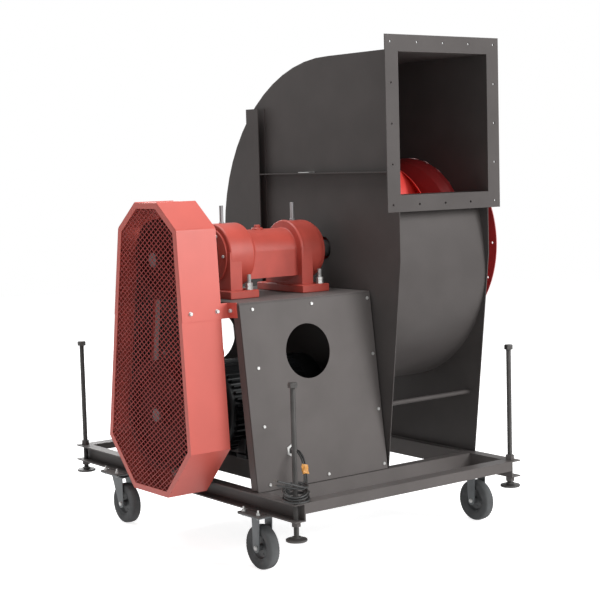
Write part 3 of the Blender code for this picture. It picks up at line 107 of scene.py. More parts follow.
# Each kink of the guard's outline: height, half width and the Y of its middle
GUARD_LEVELS = ((0.298, 0.147, -0.160), (0.520, 0.352, -0.157), (1.500, 0.243, -0.200),
                (1.619, 0.090, -0.200))
MESH_EDGE = 0.004
LAP_Z = 1.098
LIP = 0.024
STRAP_Z = 1.134
LEAD_RADIUS = 0.0045
LEAD_SPACING = 0.0115
GLAND = (-0.452 + SHIFT, 0.497)
GLAND_RADIUS = 0.0165
GLAND_HOLE = 0.0226
COIL_RADIUS = 0.0500
COIL_FLOOR = 0.3425
COIL_RISE = 0.0108                # in one turn
COIL_START = -42                  # degrees about the jack screw
FREE_TURN = 0.38                  # share of a turn in which a lead's end lifts off the coil
TAPE_Z = 0.428
JACK_X = 0.645
JACK_Y = 0.913
JACK_RADIUS = 0.012
JACK_HEAD = (0.036, 0.022)
JACK_SOCKET = 0.0128
WHEEL_RADIUS = 0.100
TYRE_HALF = 0.026
RIM_HALF = 0.032
AXLE_SEAT = 0.0367                # from a wheel's middle to its axle bolt's washers
PLATE_X = 0.652
PLATE_Y = {-1: -0.672, 1: 0.537}
PLATE_HOLES = (0.058, 0.055)
WASHER_T = 0.0016
CORNER_SIGNS = {"front_left": (-1, -1), "front_right": (1, -1), "rear_left": (-1, 1), "rear_right": (1, 1)}
CORNERS = ((-1, -1), (-1, 1), (1, -1), (1, 1))

# Camera: yaw, pitch and roll in degrees, place, focal length in millimetres and shift
CAMERA_TURN = (37.256, 5.323, -1.516)
CAMERA_PLACE = (-4.2787, -5.8315, 1.7783)
CAMERA_LENS = 87.94
CAMERA_SHIFT = (-1.4 / 600, -0.4 / 600)
# Each lamp's name, place, aim and power in watts
LAMPS = (
    ("key", (3.0, -6.6, 3.9), (0.0, -0.4, 1.0), 430),
    ("fill", (-1.4, -7.4, 2.4), (-0.2, -0.3, 1.0), 120),
    ("top", (-1.0, 1.0, 6.0), (0.0, 0.0, 1.2), 230),
    ("back", (1.5, 7.2, 3.2), (0.1, 0.3, 1.0), 190),
)
LAMP_SIZE = 4.0
WORLD_LEVEL = 0.26
FLOOR_RADIUS = 14
FLOOR_Z = -0.0005
FLOOR_GLOW = 0.80

# Finish of each material slot: colour, roughness, metallic, mottle, grain size, grain depth
FINISHES = {
    "frame_paint": ((0.104, 0.094, 0.091), 0.46, 0.05, 0.07, 0.004, 0.00010),
    "casing_paint": ((0.074, 0.067, 0.065), 0.46, 0.05, 0.07, 0.004, 0.00010),
    "red_paint": ((0.56, 0.100, 0.076), 0.44, 0.0, 0.05, 0.005, 0.00012),
    # mesh_red_paint: painted shade, the guard's red darkened to the tone of its shaded side for the expanded
    # metal
    "mesh_red_paint": ((0.34, 0.050, 0.044), 0.46, 0.0, 0.12, 0.005, 0.00012),
    "ring_red_paint": ((0.32, 0.024, 0.025), 0.42, 0.0, 0.12, 0.005, 0.00012),
    "cast_red_paint": ((0.42, 0.062, 0.044), 0.46, 0.0, 0.12, 0.003, 0.00040),
    "impeller_paint": ((0.80, 0.060, 0.048), 0.45, 0.0, 0.12, 0.004, 0.00012),
    "black_paint": ((0.014, 0.015, 0.016), 0.48, 0.0, 0.25, 0.003, 0.00020),
    "bright_steel": ((0.110, 0.105, 0.105), 0.38, 0.7, 0.12, 0.002, 0.00005),
    "jack_steel": ((0.055, 0.052, 0.050), 0.48, 0.4, 0.25, 0.002, 0.00012),
    "well_steel": ((0.27, 0.27, 0.275), 0.45, 0.4, 0.20, 0.002, 0.00008),
    "zinc": ((0.46, 0.46, 0.45), 0.40, 0.5, 0.20, 0.001, 0.00005),
    "rim_paint": ((0.075, 0.078, 0.080), 0.50, 0.1, 0.20, 0.002, 0.00010),
    "fork_zinc": ((0.150, 0.160, 0.165), 0.48, 0.3, 0.15, 0.002, 0.00008),
    # pulley_iron: painted shade. The dark red-brown colour, with almost no specular level in DULL, stands for
    # the shade inside the belt guard; the pulleys and the impeller's hub take it
    "pulley_iron": ((0.050, 0.016, 0.015), 0.65, 0.0, 0.25, 0.002, 0.00015),
    "tyre_rubber": ((0.100, 0.103, 0.105), 0.78, 0.0, 0.25, 0.002, 0.00030),
    "belt_rubber": ((0.012, 0.012, 0.012), 0.75, 0.0, 0.30, 0.001, 0.00015),
    "cable_rubber": ((0.012, 0.012, 0.012), 0.45, 0.0, 0.25, 0.001, 0.00005),
    "yellow_tape": ((0.52, 0.235, 0.045), 0.45, 0.0, 0.22, 0.003, 0.00040),
    "bare_wire": ((0.085, 0.072, 0.062), 0.45, 0.5, 0.25, 0.001, 0.00005),
}
# Specular level of the duller finishes; the rest have the usual 0.5
DULL = {"frame_paint": 0.14, "casing_paint": 0.12, "mesh_red_paint": 0.20, "pulley_iron": 0.03,
        "fork_zinc": 0.25, "black_paint": 0.30, "belt_rubber": 0.15, "cast_red_paint": 0.40,
        "tyre_rubber": 0.25}


def user(context):
    """The sizes and finishes that a user can change."""
    return context.scene.fan_sizes, context.scene.fan_finishes


def finish(name):
    """The material of a slot, made on first use.

    Colour goes from base (1 - mottle) to base (1 + mottle) with a broad cloud, roughness from
    base - mottle / 4 to base + mottle / 4 with a finer one, and the height is depth x speck: three noises on
    Object coordinates.
    """
    known = bpy.data.materials.get(name + "_finish")
    if known:
        return known
    colour, roughness, metallic, mottle, grain, depth = FINISHES[name]
    colours = bpy.context.scene.fan_finishes
    colour = tuple(getattr(colours, name, colour))
    made = bpy.data.materials.new(name + "_finish")
    made.use_nodes = True
    nodes, links = made.node_tree.nodes, made.node_tree.links
    shader = nodes["Principled BSDF"]
    shader.inputs["Metallic"].default_value = metallic
    shader.inputs["Specular IOR Level"].default_value = DULL.get(name, 0.5)
    place = nodes.new("ShaderNodeTexCoord").outputs["Object"]

    def noise(size, detail):
        cloud = nodes.new("ShaderNodeTexNoise")
        cloud.inputs["Scale"].default_value = 1 / size
        cloud.inputs["Detail"].default_value = detail
        links.new(place, cloud.inputs["Vector"])
        return cloud.outputs["Fac"]

    broad, fine, speck = noise(grain * 45, 5), noise(grain * 12, 4), noise(grain, 3)
    ramp = nodes.new("ShaderNodeValToRGB")
    ramp.color_ramp.elements[0].position = 0.32
    ramp.color_ramp.elements[1].position = 0.68
    ramp.color_ramp.elements[0].color = (*(c * (1 - mottle) for c in colour), 1)
    ramp.color_ramp.elements[1].color = (*(min(c * (1 + mottle), 1) for c in colour), 1)
    links.new(broad, ramp.inputs["Fac"])
    links.new(ramp.outputs["Color"], shader.inputs["Base Color"])
    rough = nodes.new("ShaderNodeMapRange")
    rough.inputs["To Min"].default_value = roughness - mottle / 4
    rough.inputs["To Max"].default_value = roughness + mottle / 4
    links.new(fine, rough.inputs["Value"])
    links.new(rough.outputs["Result"], shader.inputs["Roughness"])
    bump = nodes.new("ShaderNodeBump")
    bump.inputs["Strength"].default_value = 0.6
    bump.inputs["Distance"].default_value = depth
    links.new(speck, bump.inputs["Height"])
    links.new(bump.outputs["Normal"], shader.inputs["Normal"])
    return made


def stand(x=0.0, y=0.0, z=0.0, facing="up"):
    """A matrix that sets a shape drawn round its own Z at a point, with that Z facing the named way."""
    turn = {
        "up": ((1, 0, 0), (0, 1, 0), (0, 0, 1)),
        "down": ((1, 0, 0), (0, -1, 0), (0, 0, -1)),
        "right": ((0, 0, 1), (1, 0, 0), (0, 1, 0)),
        "left": ((0, 0, -1), (-1, 0, 0), (0, 1, 0)),
        "front": ((1, 0, 0), (0, 0, -1), (0, 1, 0)),
    }[facing]
    matrix = np.eye(4)
    matrix[:3, :3] = turn
    matrix[:3, 3] = (x, y, z)
    return matrix


def on_shaft(x=0.0, facing="right"):
    """A matrix on the fan shaft's line."""
    return stand(x, *SHAFT_YZ, facing)


def on_motor(x=0.0, facing="right"):
    """A matrix on the motor's line."""
    return stand(x, *MOTOR_YZ, facing)


def panel_stand(row):
    """A matrix for a shape drawn on a pedestal panel: X across, Y up the slope and Z outwards."""
    sign = {"front": -1, "rear": 1}[row]
    lean, rise = math.sin(PANEL_LEAN), math.cos(PANEL_LEAN)
    matrix = np.eye(4)
    matrix[:3, 0] = (-sign, 0, 0)
    matrix[:3, 1] = (0, -sign * lean, rise)
    matrix[:3, 2] = (0, sign * rise, lean)
    matrix[:3, 3] = (0, SHAFT_YZ[0] + sign * PANEL_FOOT_HALF, PANEL_FOOT_Z)
    return matrix


def up_slope(z):
    """The slope length from a panel's foot to a height."""
    return (z - PANEL_FOOT_Z) / math.cos(PANEL_LEAN)


class Shape:
    """Points and faces of one piece, gathered from grids of points."""

    def __init__(self):
        self.points, self.faces, self.count = [], [], 0

    def add(self, grid, where=None, around=True, closed=False, capped=False):
        """Add a grid of points, rows by columns by three, and return the shape.

        Each face joins the points (i, j), (i, j+1), (i+1, j+1) and (i+1, j). around joins the last column to
        the first, closed joins the last row to the first, and capped closes the first and last rows.
        """
        rows, columns = grid.shape[:2]
        points = grid.reshape(-1, 3)
        if where is not None:
            points = points @ where[:3, :3].T + where[:3, 3]
        down = np.arange(rows if closed else rows - 1)
        across = np.arange(columns if around else columns - 1)
        i, j = np.meshgrid(down, across, indexing="ij")
        below, beside = (i + 1) % rows, (j + 1) % columns
        corners = (i, j), (i, beside), (below, beside), (below, j)
        quads = np.stack([row * columns + column for row, column in corners], -1)
        self.faces += (quads.reshape(-1, 4) + self.count).tolist()
        if capped:
            ring = np.arange(columns) + self.count
            self.faces += [ring[::-1].tolist(), (ring + (rows - 1) * columns).tolist()]
        self.points.append(points)
        self.count += len(points)
        return self

    def spin(self, profile, place, steps=64, ease=0.0, parts=2, closed=True):
        """Add a profile turned about a place's Z, its corners eased where a reach is given."""
        if ease:
            profile = rounded(profile, ease, parts, closed)
        return self.add(turned(profile, steps), place, closed=closed)


def meshed(name, shape):
    """A shape as a mesh, with its doubles merged and its faces pointing outwards."""
    mesh = bpy.data.meshes.new(name)
    mesh.from_pydata(np.concatenate(shape.points).tolist(), [], shape.faces)
    work = bmesh.new()
    work.from_mesh(mesh)
    bmesh.ops.remove_doubles(work, verts=work.verts, dist=1e-6)
    bmesh.ops.recalc_face_normals(work, faces=work.faces)
    work.to_mesh(mesh)
    work.free()
    return mesh


def piece(name, shape, slot, body="frame", replaced=(), sharp=35):
    """Make a shape an object with a finish, and let it ride on a body in place of CAD nodes."""
    mesh = meshed(name, shape)
    mesh.materials.append(finish(slot))
    mesh.shade_smooth()
    mesh.set_sharp_from_angle(angle=math.radians(sharp))
    made = bpy.data.objects.new(name, mesh)
    bpy.context.scene.collection.objects.link(made)
    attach(made, body)
    if replaced:
        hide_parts(*replaced)
    return made


def drilled(target, drill):
    """Cut a shape out of a piece, and keep the result in its mesh."""
    cutter = bpy.data.objects.new("drill", meshed("drill", drill))
    bpy.context.scene.collection.objects.link(cutter)
    cut = target.modifiers.new("drill", "BOOLEAN")
    cut.operation = "DIFFERENCE"
    cut.solver = "EXACT"
    cut.object = cutter
    bpy.context.view_layer.update()
    done = bpy.data.meshes.new_from_object(target.evaluated_get(bpy.context.evaluated_depsgraph_get()))
    target.modifiers.clear()
    target.data = done
    bpy.data.objects.remove(cutter)


def rounded(outline, reach, steps=4, closed=True):
    """An outline with each corner P eased, from A, a reach before it, to B, a reach after it.

    The points are (1-t)^2 A + 2t(1-t) P + t^2 B.
    """
    corner = np.asarray(outline, float)
    back = np.roll(corner, 1, 0) - corner
    on = np.roll(corner, -1, 0) - corner
    far_back = np.linalg.norm(back, axis=1, keepdims=True)
    far_on = np.linalg.norm(on, axis=1, keepdims=True)
    cut = np.minimum(reach, 0.48 * np.minimum(far_back, far_on))
    start = corner + back / np.maximum(far_back, 1e-9) * cut
    end = corner + on / np.maximum(far_on, 1e-9) * cut
    t = np.linspace(0, 1, steps + 1)[None, :, None]
    eased = (1 - t) ** 2 * start[:, None] + 2 * t * (1 - t) * corner[:, None] + t ** 2 * end[:, None]
    if not closed:
        eased[0], eased[-1] = corner[0], corner[-1]
    return eased.reshape(-1, 2)


def inset(outline, depth):
    """A closed outline moved inwards: P + depth (n0 + n1) / (1 + n0 . n1), n the inward normals beside P."""
    ahead = np.roll(outline, -1, 0) - outline
    ahead = ahead / np.linalg.norm(ahead, axis=1, keepdims=True)
    inward = np.column_stack([-ahead[:, 1], ahead[:, 0]])
    before = np.roll(inward, 1, 0)
    return outline + depth * (before + inward) / (1 + (before * inward).sum(1, keepdims=True))


def turned(profile, steps=64, sides=0):
    """Each profile point (r, z) goes round Z: P = (r f cos a, r f sin a, z).

    f is 1, or for a body with flat sides 1 / cos(d), d being the angle from the nearest side's middle.
    """
    radius, along = np.asarray(profile, float).T
    angle = np.arange(steps) * 2 * math.pi / steps
    factor = np.ones(steps)
    if sides:
        part = 2 * math.pi / sides
        factor = 1 / np.cos((angle + part / 2) % part - part / 2)
    ring = radius[:, None] * factor
    height = np.repeat(along[:, None], steps, 1)
    return np.stack([ring * np.cos(angle), ring * np.sin(angle), height], -1)


def carried(path, section, side, closed=False):
    """A section carried along a path: P = path + a side + b (tangent x side)."""
    path = np.asarray(path, float)
    section = np.asarray(section, float)
    side = np.asarray(side, float)
    ahead = np.roll(path, -1, 0) - np.roll(path, 1, 0)
    if not closed:
        ahead[0], ahead[-1] = path[1] - path[0], path[-1] - path[-2]
    ahead /= np.maximum(np.linalg.norm(ahead, axis=1, keepdims=True), 1e-9)
    over = np.cross(ahead, side)
    return path[:, None] + section[None, :, :1] * side + section[None, :, 1:] * over[:, None]


def slab(size, corner=0.004, edge=0.0015):
    """A box about its middle with eased corners and chamfered rims: four rows of one rounded outline."""
    half = np.asarray(size, float) / 2
    rows = []
    for height, inwards in ((-half[2], edge), (-half[2] + edge, 0), (half[2] - edge, 0), (half[2], edge)):
        x, y = half[0] - inwards, half[1] - inwards
        outline = rounded([(-x, -y), (x, -y), (x, y), (-x, y)], corner, 3)
        rows.append(np.column_stack([outline, np.full(len(outline), height)]))
    return np.array(rows)


def prism(outline, low, high):
    """An outline drawn in X and Y, carried straight from one height to another."""
    outline = np.asarray(outline, float)
    return np.stack([np.column_stack([outline, np.full(len(outline), z)]) for z in (low, high)])


def circle(radius, steps):
    """Points round a circle: (r cos a, r sin a)."""
    angle = np.arange(steps) * 2 * math.pi / steps
    return radius * np.column_stack([np.cos(angle), np.sin(angle)])


def rod(radius, low, high):
    """The profile of a plain round bar along Z."""
    return [(0, low), (radius, low), (radius, high), (0, high)]


def strip(half, low, high):
    """A rectangle's four corners, as the section of something carried along a path."""
    return [(-half, low), (half, low), (half, high), (-half, high)]


def hex_head(flats, height):
    """A chamfered hexagon head on Z = 0, and its cap."""
    half = flats / 2
    grid = turned([(0, 0), (half, 0), (half, height * 0.86), (half * 0.97, height), (0, height)], 24, 6)
    grid[3, :, :2] = grid[3, :, :2] / np.linalg.norm(grid[3, :, :2], axis=1, keepdims=True) * half * 0.97
    return grid


def washer(radius, height):
    """A flat washer on Z = 0."""
    return turned(rounded([(0, 0), (radius, 0), (radius, height), (0, height)], 0.0006, 2, False), 24)


def fitted(shape, place, flats, height, plate=1.9, shank=0.0, tip=0.0):
    """A washer, a hexagon and the thread's end that stands out of it, at a place."""
    seat = WASHER_T if plate else 0
    if plate:
        shape.add(washer(flats / 2 * plate, seat), place)
    lifted = place @ stand(z=seat - 0.0002)
    shape.add(hex_head(flats, height), lifted)
    if tip:
        top = height + tip
        stub = [(shank, height - 0.001), (shank, top - 0.001), (shank * 0.85, top), (0, top)]
        shape.add(turned(stub, 16), lifted)
    return shape


def threaded(radius, low, high, pitch):
    """A screw thread: r = R - d (1 + cos(2 pi z / pitch - a)) / 2, with d a third of the pitch."""
    rows = int((high - low) / pitch * 5) + 1
    z = np.linspace(low, high, rows)[:, None]
    angle = (np.arange(18) * 2 * math.pi / 18)[None, :]
    ring = radius - pitch / 6 * (1 + np.cos(2 * math.pi * z / pitch - angle))
    return np.stack([ring * np.cos(angle), ring * np.sin(angle), np.repeat(z, 18, 1)], -1)


def smooth_run(guide, dense=4):
    """A smooth curve through guide points: a cubic in t between each two, with slopes (P2 - P0) / 2."""
    p = np.asarray(guide, float)
    p = np.concatenate([p[:1], p, p[-1:]])
    t = (np.arange(dense) / dense)[None, :, None]
    a, b, c, d = (p[k:len(p) - 3 + k, None] for k in range(4))
    run = 0.5 * (2 * b + (c - a) * t + (2 * a - 5 * b + 4 * c - d) * t ** 2
                 + (3 * b - a - 3 * c + d) * t ** 3)
    return np.concatenate([run.reshape(-1, 3), p[-1:]])


def eased_run(path, spacing, rounds):
    """A path with points a spacing apart, each moved rounds times to (before + 2 itself + after) / 4."""
    run = np.concatenate([[0], np.cumsum(np.linalg.norm(np.diff(path, axis=0), axis=1))])
    even = np.linspace(0, run[-1], int(run[-1] / spacing) + 1)
    path = np.column_stack([np.interp(even, run, path[:, k]) for k in range(3)])
    for _ in range(rounds):
        path[2:-1] = (path[1:-2] + 2 * path[2:-1] + path[3:]) / 4
    return path


def cord_curve(name, path, radius, slot):
    """A round cord as a curve of one open spline."""
    curve = bpy.data.curves.new(name, "CURVE")
    curve.dimensions = "3D"
    curve.fill_mode = "FULL"
    curve.bevel_depth = radius
    curve.bevel_resolution = 4
    curve.use_fill_caps = True
    spline = curve.splines.new("POLY")
    spline.points.add(len(path) - 1)
    spline.points.foreach_set("co", np.column_stack([path, np.ones(len(path))]).astype(np.float32).ravel())
    spline.use_smooth = True
    curve.materials.append(finish(slot))
    made = bpy.data.objects.new(name, curve)
    bpy.context.scene.collection.objects.link(made)
    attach(made, "frame")
    return made


class FanSizes(bpy.types.PropertyGroup):
    """Sizes of the small detail that the frame leaves open."""

    mesh_pitch_y: FloatProperty(name="Mesh opening length",
                                description="Long way of the guard mesh's opening",
                                default=0.038, unit="LENGTH")
    mesh_pitch_z: FloatProperty(name="Mesh opening height",
                                description="Short way of the guard mesh's opening",
                                default=0.025, unit="LENGTH")
    mesh_strand: FloatProperty(name="Mesh strand", description="Width of one strand of the guard mesh",
                               default=0.0042, unit="LENGTH")
    thread_pitch: FloatProperty(name="Jack thread pitch", description="Rise of a jack screw in one turn",
                                default=0.003, unit="LENGTH")
    fin_count: IntProperty(name="Motor fins", description="Cooling fins round the motor", default=44)
    tread_blocks: IntProperty(name="Tread blocks", description="Blocks round a caster's tyre", default=44)
    coil_turns: FloatProperty(name="Coil turns", description="Turns of each lead round the jack",
                              default=3.21)


class FanFinishes(bpy.types.PropertyGroup):
    """Colours of the painted and moulded parts."""

    casing_paint: FloatVectorProperty(name="Casing paint", description="Scroll casing and flange", size=3,
                                      subtype="COLOR", default=FINISHES["casing_paint"][0])
    frame_paint: FloatVectorProperty(name="Frame paint", description="Base frame and pedestal", size=3,
                                     subtype="COLOR", default=FINISHES["frame_paint"][0])
    red_paint: FloatVectorProperty(name="Guard paint", description="Belt guard and inlet ring", size=3,
                                   subtype="COLOR", default=FINISHES["red_paint"][0])
    cast_red_paint: FloatVectorProperty(name="Housing paint", description="Cast bearing housing", size=3,
                                        subtype="COLOR", default=FINISHES["cast_red_paint"][0])
    black_paint: FloatVectorProperty(name="Motor paint", description="Motor body, cowl and box", size=3,
                                     subtype="COLOR", default=FINISHES["black_paint"][0])
    yellow_tape: FloatVectorProperty(name="Tape", description="Band round the leads", size=3, subtype="COLOR",
                                     default=FINISHES["yellow_tape"][0])


class FAN_OT_stage(bpy.types.Operator):
    """Add the pale floor, the soft studio light and the camera"""

    bl_idname = "fan.stage"
    bl_label = "Stage"

    def execute(self, context):
        scene = context.scene
        scene.view_settings.view_transform = "Standard"
        self.set_camera(scene)
        for name, place, aim, power in LAMPS:
            light = bpy.data.lights.new(name, "AREA")
            light.shape = "DISK"
            light.size = LAMP_SIZE
            light.energy = power
            lamp = bpy.data.objects.new(name, light)
            lamp.location = place
            lamp.rotation_euler = (Vector(aim) - Vector(place)).to_track_quat("-Z", "Y").to_euler()
            scene.collection.objects.link(lamp)
        self.set_world(scene)
        self.set_floor(scene)
        return {"FINISHED"}

    def set_camera(self, scene):
        """Look along (sin yaw cos pitch, cos yaw cos pitch, -sin pitch), rolled about that line."""
        yaw, pitch, roll = (math.radians(angle) for angle in CAMERA_TURN)
        right = Vector((math.cos(yaw), -math.sin(yaw), 0))
        ahead = Vector((math.sin(yaw) * math.cos(pitch), math.cos(yaw) * math.cos(pitch), -math.sin(pitch)))
        above = right.cross(ahead)
        across = math.cos(roll) * right + math.sin(roll) * above
        up = math.cos(roll) * above - math.sin(roll) * right
        lens = bpy.data.cameras.new("camera")
        lens.sensor_width = 36
        lens.lens = CAMERA_LENS
        lens.shift_x, lens.shift_y = CAMERA_SHIFT
        lens.clip_end = 100
        camera = bpy.data.objects.new("camera", lens)
        matrix = Matrix((across, up, -ahead)).transposed().to_4x4()
        matrix.translation = CAMERA_PLACE
        camera.matrix_world = matrix
        scene.collection.objects.link(camera)
        scene.camera = camera

    def set_world(self, scene):
        """Light the object softly from a world that is seen as white."""
        world = bpy.data.worlds.new("studio")
        world.use_nodes = True
        scene.world = world
        background = world.node_tree.nodes["Background"]
        background.inputs["Color"].default_value = (1, 1, 1, 1)
        self.two_levels(world.node_tree, background.inputs["Strength"], 1.0, WORLD_LEVEL)

    def set_floor(self, scene):
        """Lay a pale round floor that is seen as white and keeps the object's shadow."""
        disc = Shape().add(turned([(0, FLOOR_Z), (FLOOR_RADIUS, FLOOR_Z)], 48))
        mesh = bpy.data.meshes.new("floor")
        mesh.from_pydata(np.concatenate(disc.points).tolist(), [], disc.faces)
        ground = bpy.data.objects.new("floor", mesh)
        scene.collection.objects.link(ground)
        pale = bpy.data.materials.new("floor")
        pale.use_nodes = True
        shader = pale.node_tree.nodes["Principled BSDF"]
        shader.inputs["Base Color"].default_value = (0.80, 0.80, 0.80, 1)
        shader.inputs["Roughness"].default_value = 0.9
        shader.inputs["Specular IOR Level"].default_value = 0.1
        shader.inputs["Emission Color"].default_value = (1, 1, 1, 1)
        self.two_levels(pale.node_tree, shader.inputs["Emission Strength"], FLOOR_GLOW, 0.0)
        mesh.materials.append(pale)

    @staticmethod
    def two_levels(tree, socket, seen, unseen):
        """Give a socket one value for camera, glossy and transmission rays, and another for the rest."""
        path = tree.nodes.new("ShaderNodeLightPath")
        total = path.outputs["Is Camera Ray"]
        for name in ("Is Glossy Ray", "Is Transmission Ray"):
            either = tree.nodes.new("ShaderNodeMath")
            either.operation = "MAXIMUM"
            tree.links.new(total, either.inputs[0])
            tree.links.new(path.outputs[name], either.inputs[1])
            total = either.outputs[0]
        level = tree.nodes.new("ShaderNodeMapRange")
        level.inputs["To Min"].default_value = unseen
        level.inputs["To Max"].default_value = seen
        tree.links.new(total, level.inputs["Value"])
        tree.links.new(level.outputs["Result"], socket)


class FAN_OT_cables(bpy.types.Operator):
    """Add the cable gland, the two taped leads and their turns round the jack"""

    bl_idname = "fan.cables"
    bl_label = "Cables"

    # Places that the leads pass, and the way they stand apart there
    guide = (
        ((-0.458, -0.731, 0.466), (1.00, 0.00)),
        ((-0.461, -0.745, 0.421), (1.00, 0.00)),
        ((-0.468, -0.757, 0.385), (1.00, 0.00)),
        ((-0.510, -0.805, 0.356), (0.97, -0.25)),
        ((-0.540, -0.868, 0.358), (0.85, -0.53)),
        ((-0.5775, -0.902, 0.366), (0.50, -0.87)),
    )

    def gland(self, place):
        """Add the gland's bush, its nut and its collar."""
        bush = [(0.0, 0.0095), (0.012, 0.0095), (0.016, 0.006), (0.016, -0.012), (0, -0.012)]
        bush = Shape().spin(bush, place, 40, 0.002, 3, False)
        piece("cable_bush", bush, "cable_rubber", replaced=["cable_gland"])
        nut = [(0.026, 0.0005), (0.026, 0.0065), (0.0245, 0.0078), (GLAND_RADIUS, 0.0078)]
        nut = turned([(GLAND_RADIUS, 0.0005)] + nut, 48, 6)
        collar = [(GLAND_RADIUS, 0.0005), (0.0295, 0.0005), (0.0295, 0.0025), (GLAND_RADIUS, 0.0025)]
        ring = Shape().add(nut, place, closed=True).spin(collar, place, 48, 0.0006)
        piece("cable_gland_nut", ring, "zinc", replaced=["cable_gland"])

    def lead_line(self, sign, count):
        """A lead's line: out of the gland, past its guide points and round the jack screw.

        With a the angle gone round, the turns are (r cos a, r sin a) about the screw and climb evenly. r
        wanders by one wave and a start that dies away, the turns spread out on one side, and the free end
        lifts.
        """
        panel, up = panel_stand("front"), up_slope(GLAND[1])
        apart = sign * LEAD_SPACING / 2
        guide = [(panel @ stand(GLAND[0] + apart, up, out))[:3, 3] for out in (0.011, 0.050)]
        for (x, y, z), (away_x, away_y) in self.guide:
            guide.append((x + SHIFT + apart * away_x, y + apart * away_y, z))
        turns = np.linspace(0, 1, int(count * 18) + 1) * count
        angle = math.radians(COIL_START) - 2 * math.pi * turns
        fan_out = (0.010 + 0.011 * turns) * (1 + np.cos(angle - math.radians(50))) / 2
        radius = COIL_RADIUS + 0.0048 * sign + 0.0022 * np.sin(2.6 * turns + 0.6)
        radius = radius + 0.006 * np.exp(-turns / 0.15)
        lift = np.clip((turns - turns[-1] + FREE_TURN) / FREE_TURN, 0, 1) ** 2 * (0.036 + 0.006 * sign)
        height = COIL_FLOOR + 0.0022 * (sign > 0) + COIL_RISE * turns + fan_out + lift
        coil = np.column_stack([radius * np.cos(angle) - JACK_X + SHIFT, radius * np.sin(angle) - JACK_Y,
                                height])
        ahead = (coil[-1] - coil[-2]) * (1, 1, 0)
        outwards = np.array([math.cos(angle[-1]), math.sin(angle[-1]), 0])
        drift = ahead / np.linalg.norm(ahead) + outwards * (0.10 + 0.12 * sign) + (0, 0, 0.30 + 0.06 * sign)
        tail = coil[-1] + drift * np.array([[0.03], [0.06], [0.09]])
        return eased_run(smooth_run(np.concatenate([np.array(guide), coil, tail])), 0.005, 34)

    def strands(self, path):
        """Three bare strands at a lead's end: P = end + along s + spread (1 + s / 0.012)."""
        along = path[-1] - path[-2]
        along = along / np.linalg.norm(along)
        steps = np.linspace(-0.002, 0.024, 6)[:, None]
        wire = Shape()
        for k in range(3):
            spread = np.array([math.cos(2.1 * k), math.sin(2.1 * k), math.sin(2.1 * k + 1)]) * 0.0018
            run = path[-1] + along * steps + spread + spread * np.maximum(steps, 0) / 0.012
            wire.add(carried(run, circle(0.0010, 8), np.cross(along, (0.3, 0.2, 0.9))), capped=True)
        return wire

    def tape(self, middle):
        """A crumpled band round the leads, and its loose tail.

        Rings (a cos t, b sin t, reach v) go out along the leads and back inside, with ripples in t and v on
        the outer ones.
        """
        t = np.linspace(0, 2 * math.pi, 48, endpoint=False)
        rows = []
        for v in np.linspace(-1, 1, 13):
            crumple = 0.0011 * np.sin(3 * t + 4 * v) + 0.0008 * np.sin(5 * t - 6 * v + 1)
            reach = 0.020 * v + 0.0022 * np.sin(2 * t + 0.5)
            rows.append(np.column_stack([(0.0165 + crumple) * np.cos(t), (0.0100 + crumple) * np.sin(t),
                                         reach]))
        for v in np.linspace(1, -1, 13):
            rows.append(np.column_stack([0.0128 * np.cos(t), 0.0065 * np.sin(t), 0.020 * v + 0 * t]))
        spot = int(np.argmin(np.abs(middle[:, 2] - TAPE_Z)))
        along = middle[spot + 3] - middle[spot - 3]
        across = np.cross((0, 1, 0), along)
        where = np.eye(4)
        where[:3, 2] = along / np.linalg.norm(along)
        where[:3, 0] = across / np.linalg.norm(across)
        where[:3, 1] = np.cross(where[:3, 2], where[:3, 0])
        where[:3, 3] = middle[spot]
        band = Shape().add(np.array(rows), where, closed=True)
        k = np.linspace(0, 1, 12)
        loose = np.column_stack([0.010 + 0.016 * k, -0.0095 + 0.004 * np.sin(5 * k), -0.008 - 0.010 * k ** 2])
        return band.add(carried(loose, strip(0.008, -0.0003, 0.0003), (0.25, 0.3, 0.92)), where, capped=True)

    def execute(self, context):
        sizes, _ = user(context)
        self.gland(panel_stand("front") @ stand(GLAND[0], up_slope(GLAND[1])))
        leads = []
        for side, sign in (("left", -1), ("right", 1)):
            path = self.lead_line(sign, sizes.coil_turns)
            lead = cord_curve(f"cable_lead_{side}_run", path, LEAD_RADIUS, "cable_rubber")
            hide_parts(f"cable_lead_{side}", "cable_coil")
            leads.append((lead, path, piece(f"cable_end_{side}", self.strands(path), "bare_wire")))
        middle = (leads[0][1][:60] + leads[1][1][:60]) / 2
        tape = piece("cable_tape_band", self.tape(middle), "yellow_tape", replaced=["cable_tape"])
        return {"FINISHED"}


class FAN_OT_jacks(bpy.types.Operator):
    """Add the four jack screws with their threads and round feet"""

    bl_idname = "fan.jacks"
    bl_label = "Jacks"

    def execute(self, context):
        sizes, _ = user(context)
        flats, head = JACK_HEAD
        for corner, (sx, sy) in CORNER_SIGNS.items():
            x, y = sx * JACK_X + SHIFT, sy * JACK_Y
            low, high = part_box(f"jack_screw_{corner}")
            thread = threaded(JACK_RADIUS, low.z, high.z - head + 0.001, sizes.thread_pitch)
            screw = Shape().add(thread, stand(x, y), capped=True)
            screw.add(hex_head(flats, head), stand(x, y, high.z - head))
            piece(f"jack_rod_{corner}", screw, "jack_steel", f"screw_{corner}", [f"jack_screw_{corner}"])
            low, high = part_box(f"jack_foot_{corner}")
            radius, top = (high.x - low.x) / 2, high.z - low.z
            sole = [(0, 0), (radius - 0.002, 0), (radius, 0.002), (radius, 0.008), (radius - 0.002, 0.010)]
            neck = [(0.024, 0.0115), (0.019, 0.014), (0.019, top)]
            socket = [(JACK_SOCKET, top), (JACK_SOCKET, 0.0083), (0, 0.0083)]
            foot = Shape().spin(sole + neck + socket, stand(x, y, low.z), closed=False)
            piece(f"jack_pad_{corner}", foot, "jack_steel", f"foot_{corner}", [f"jack_foot_{corner}"])
        return {"FINISHED"}


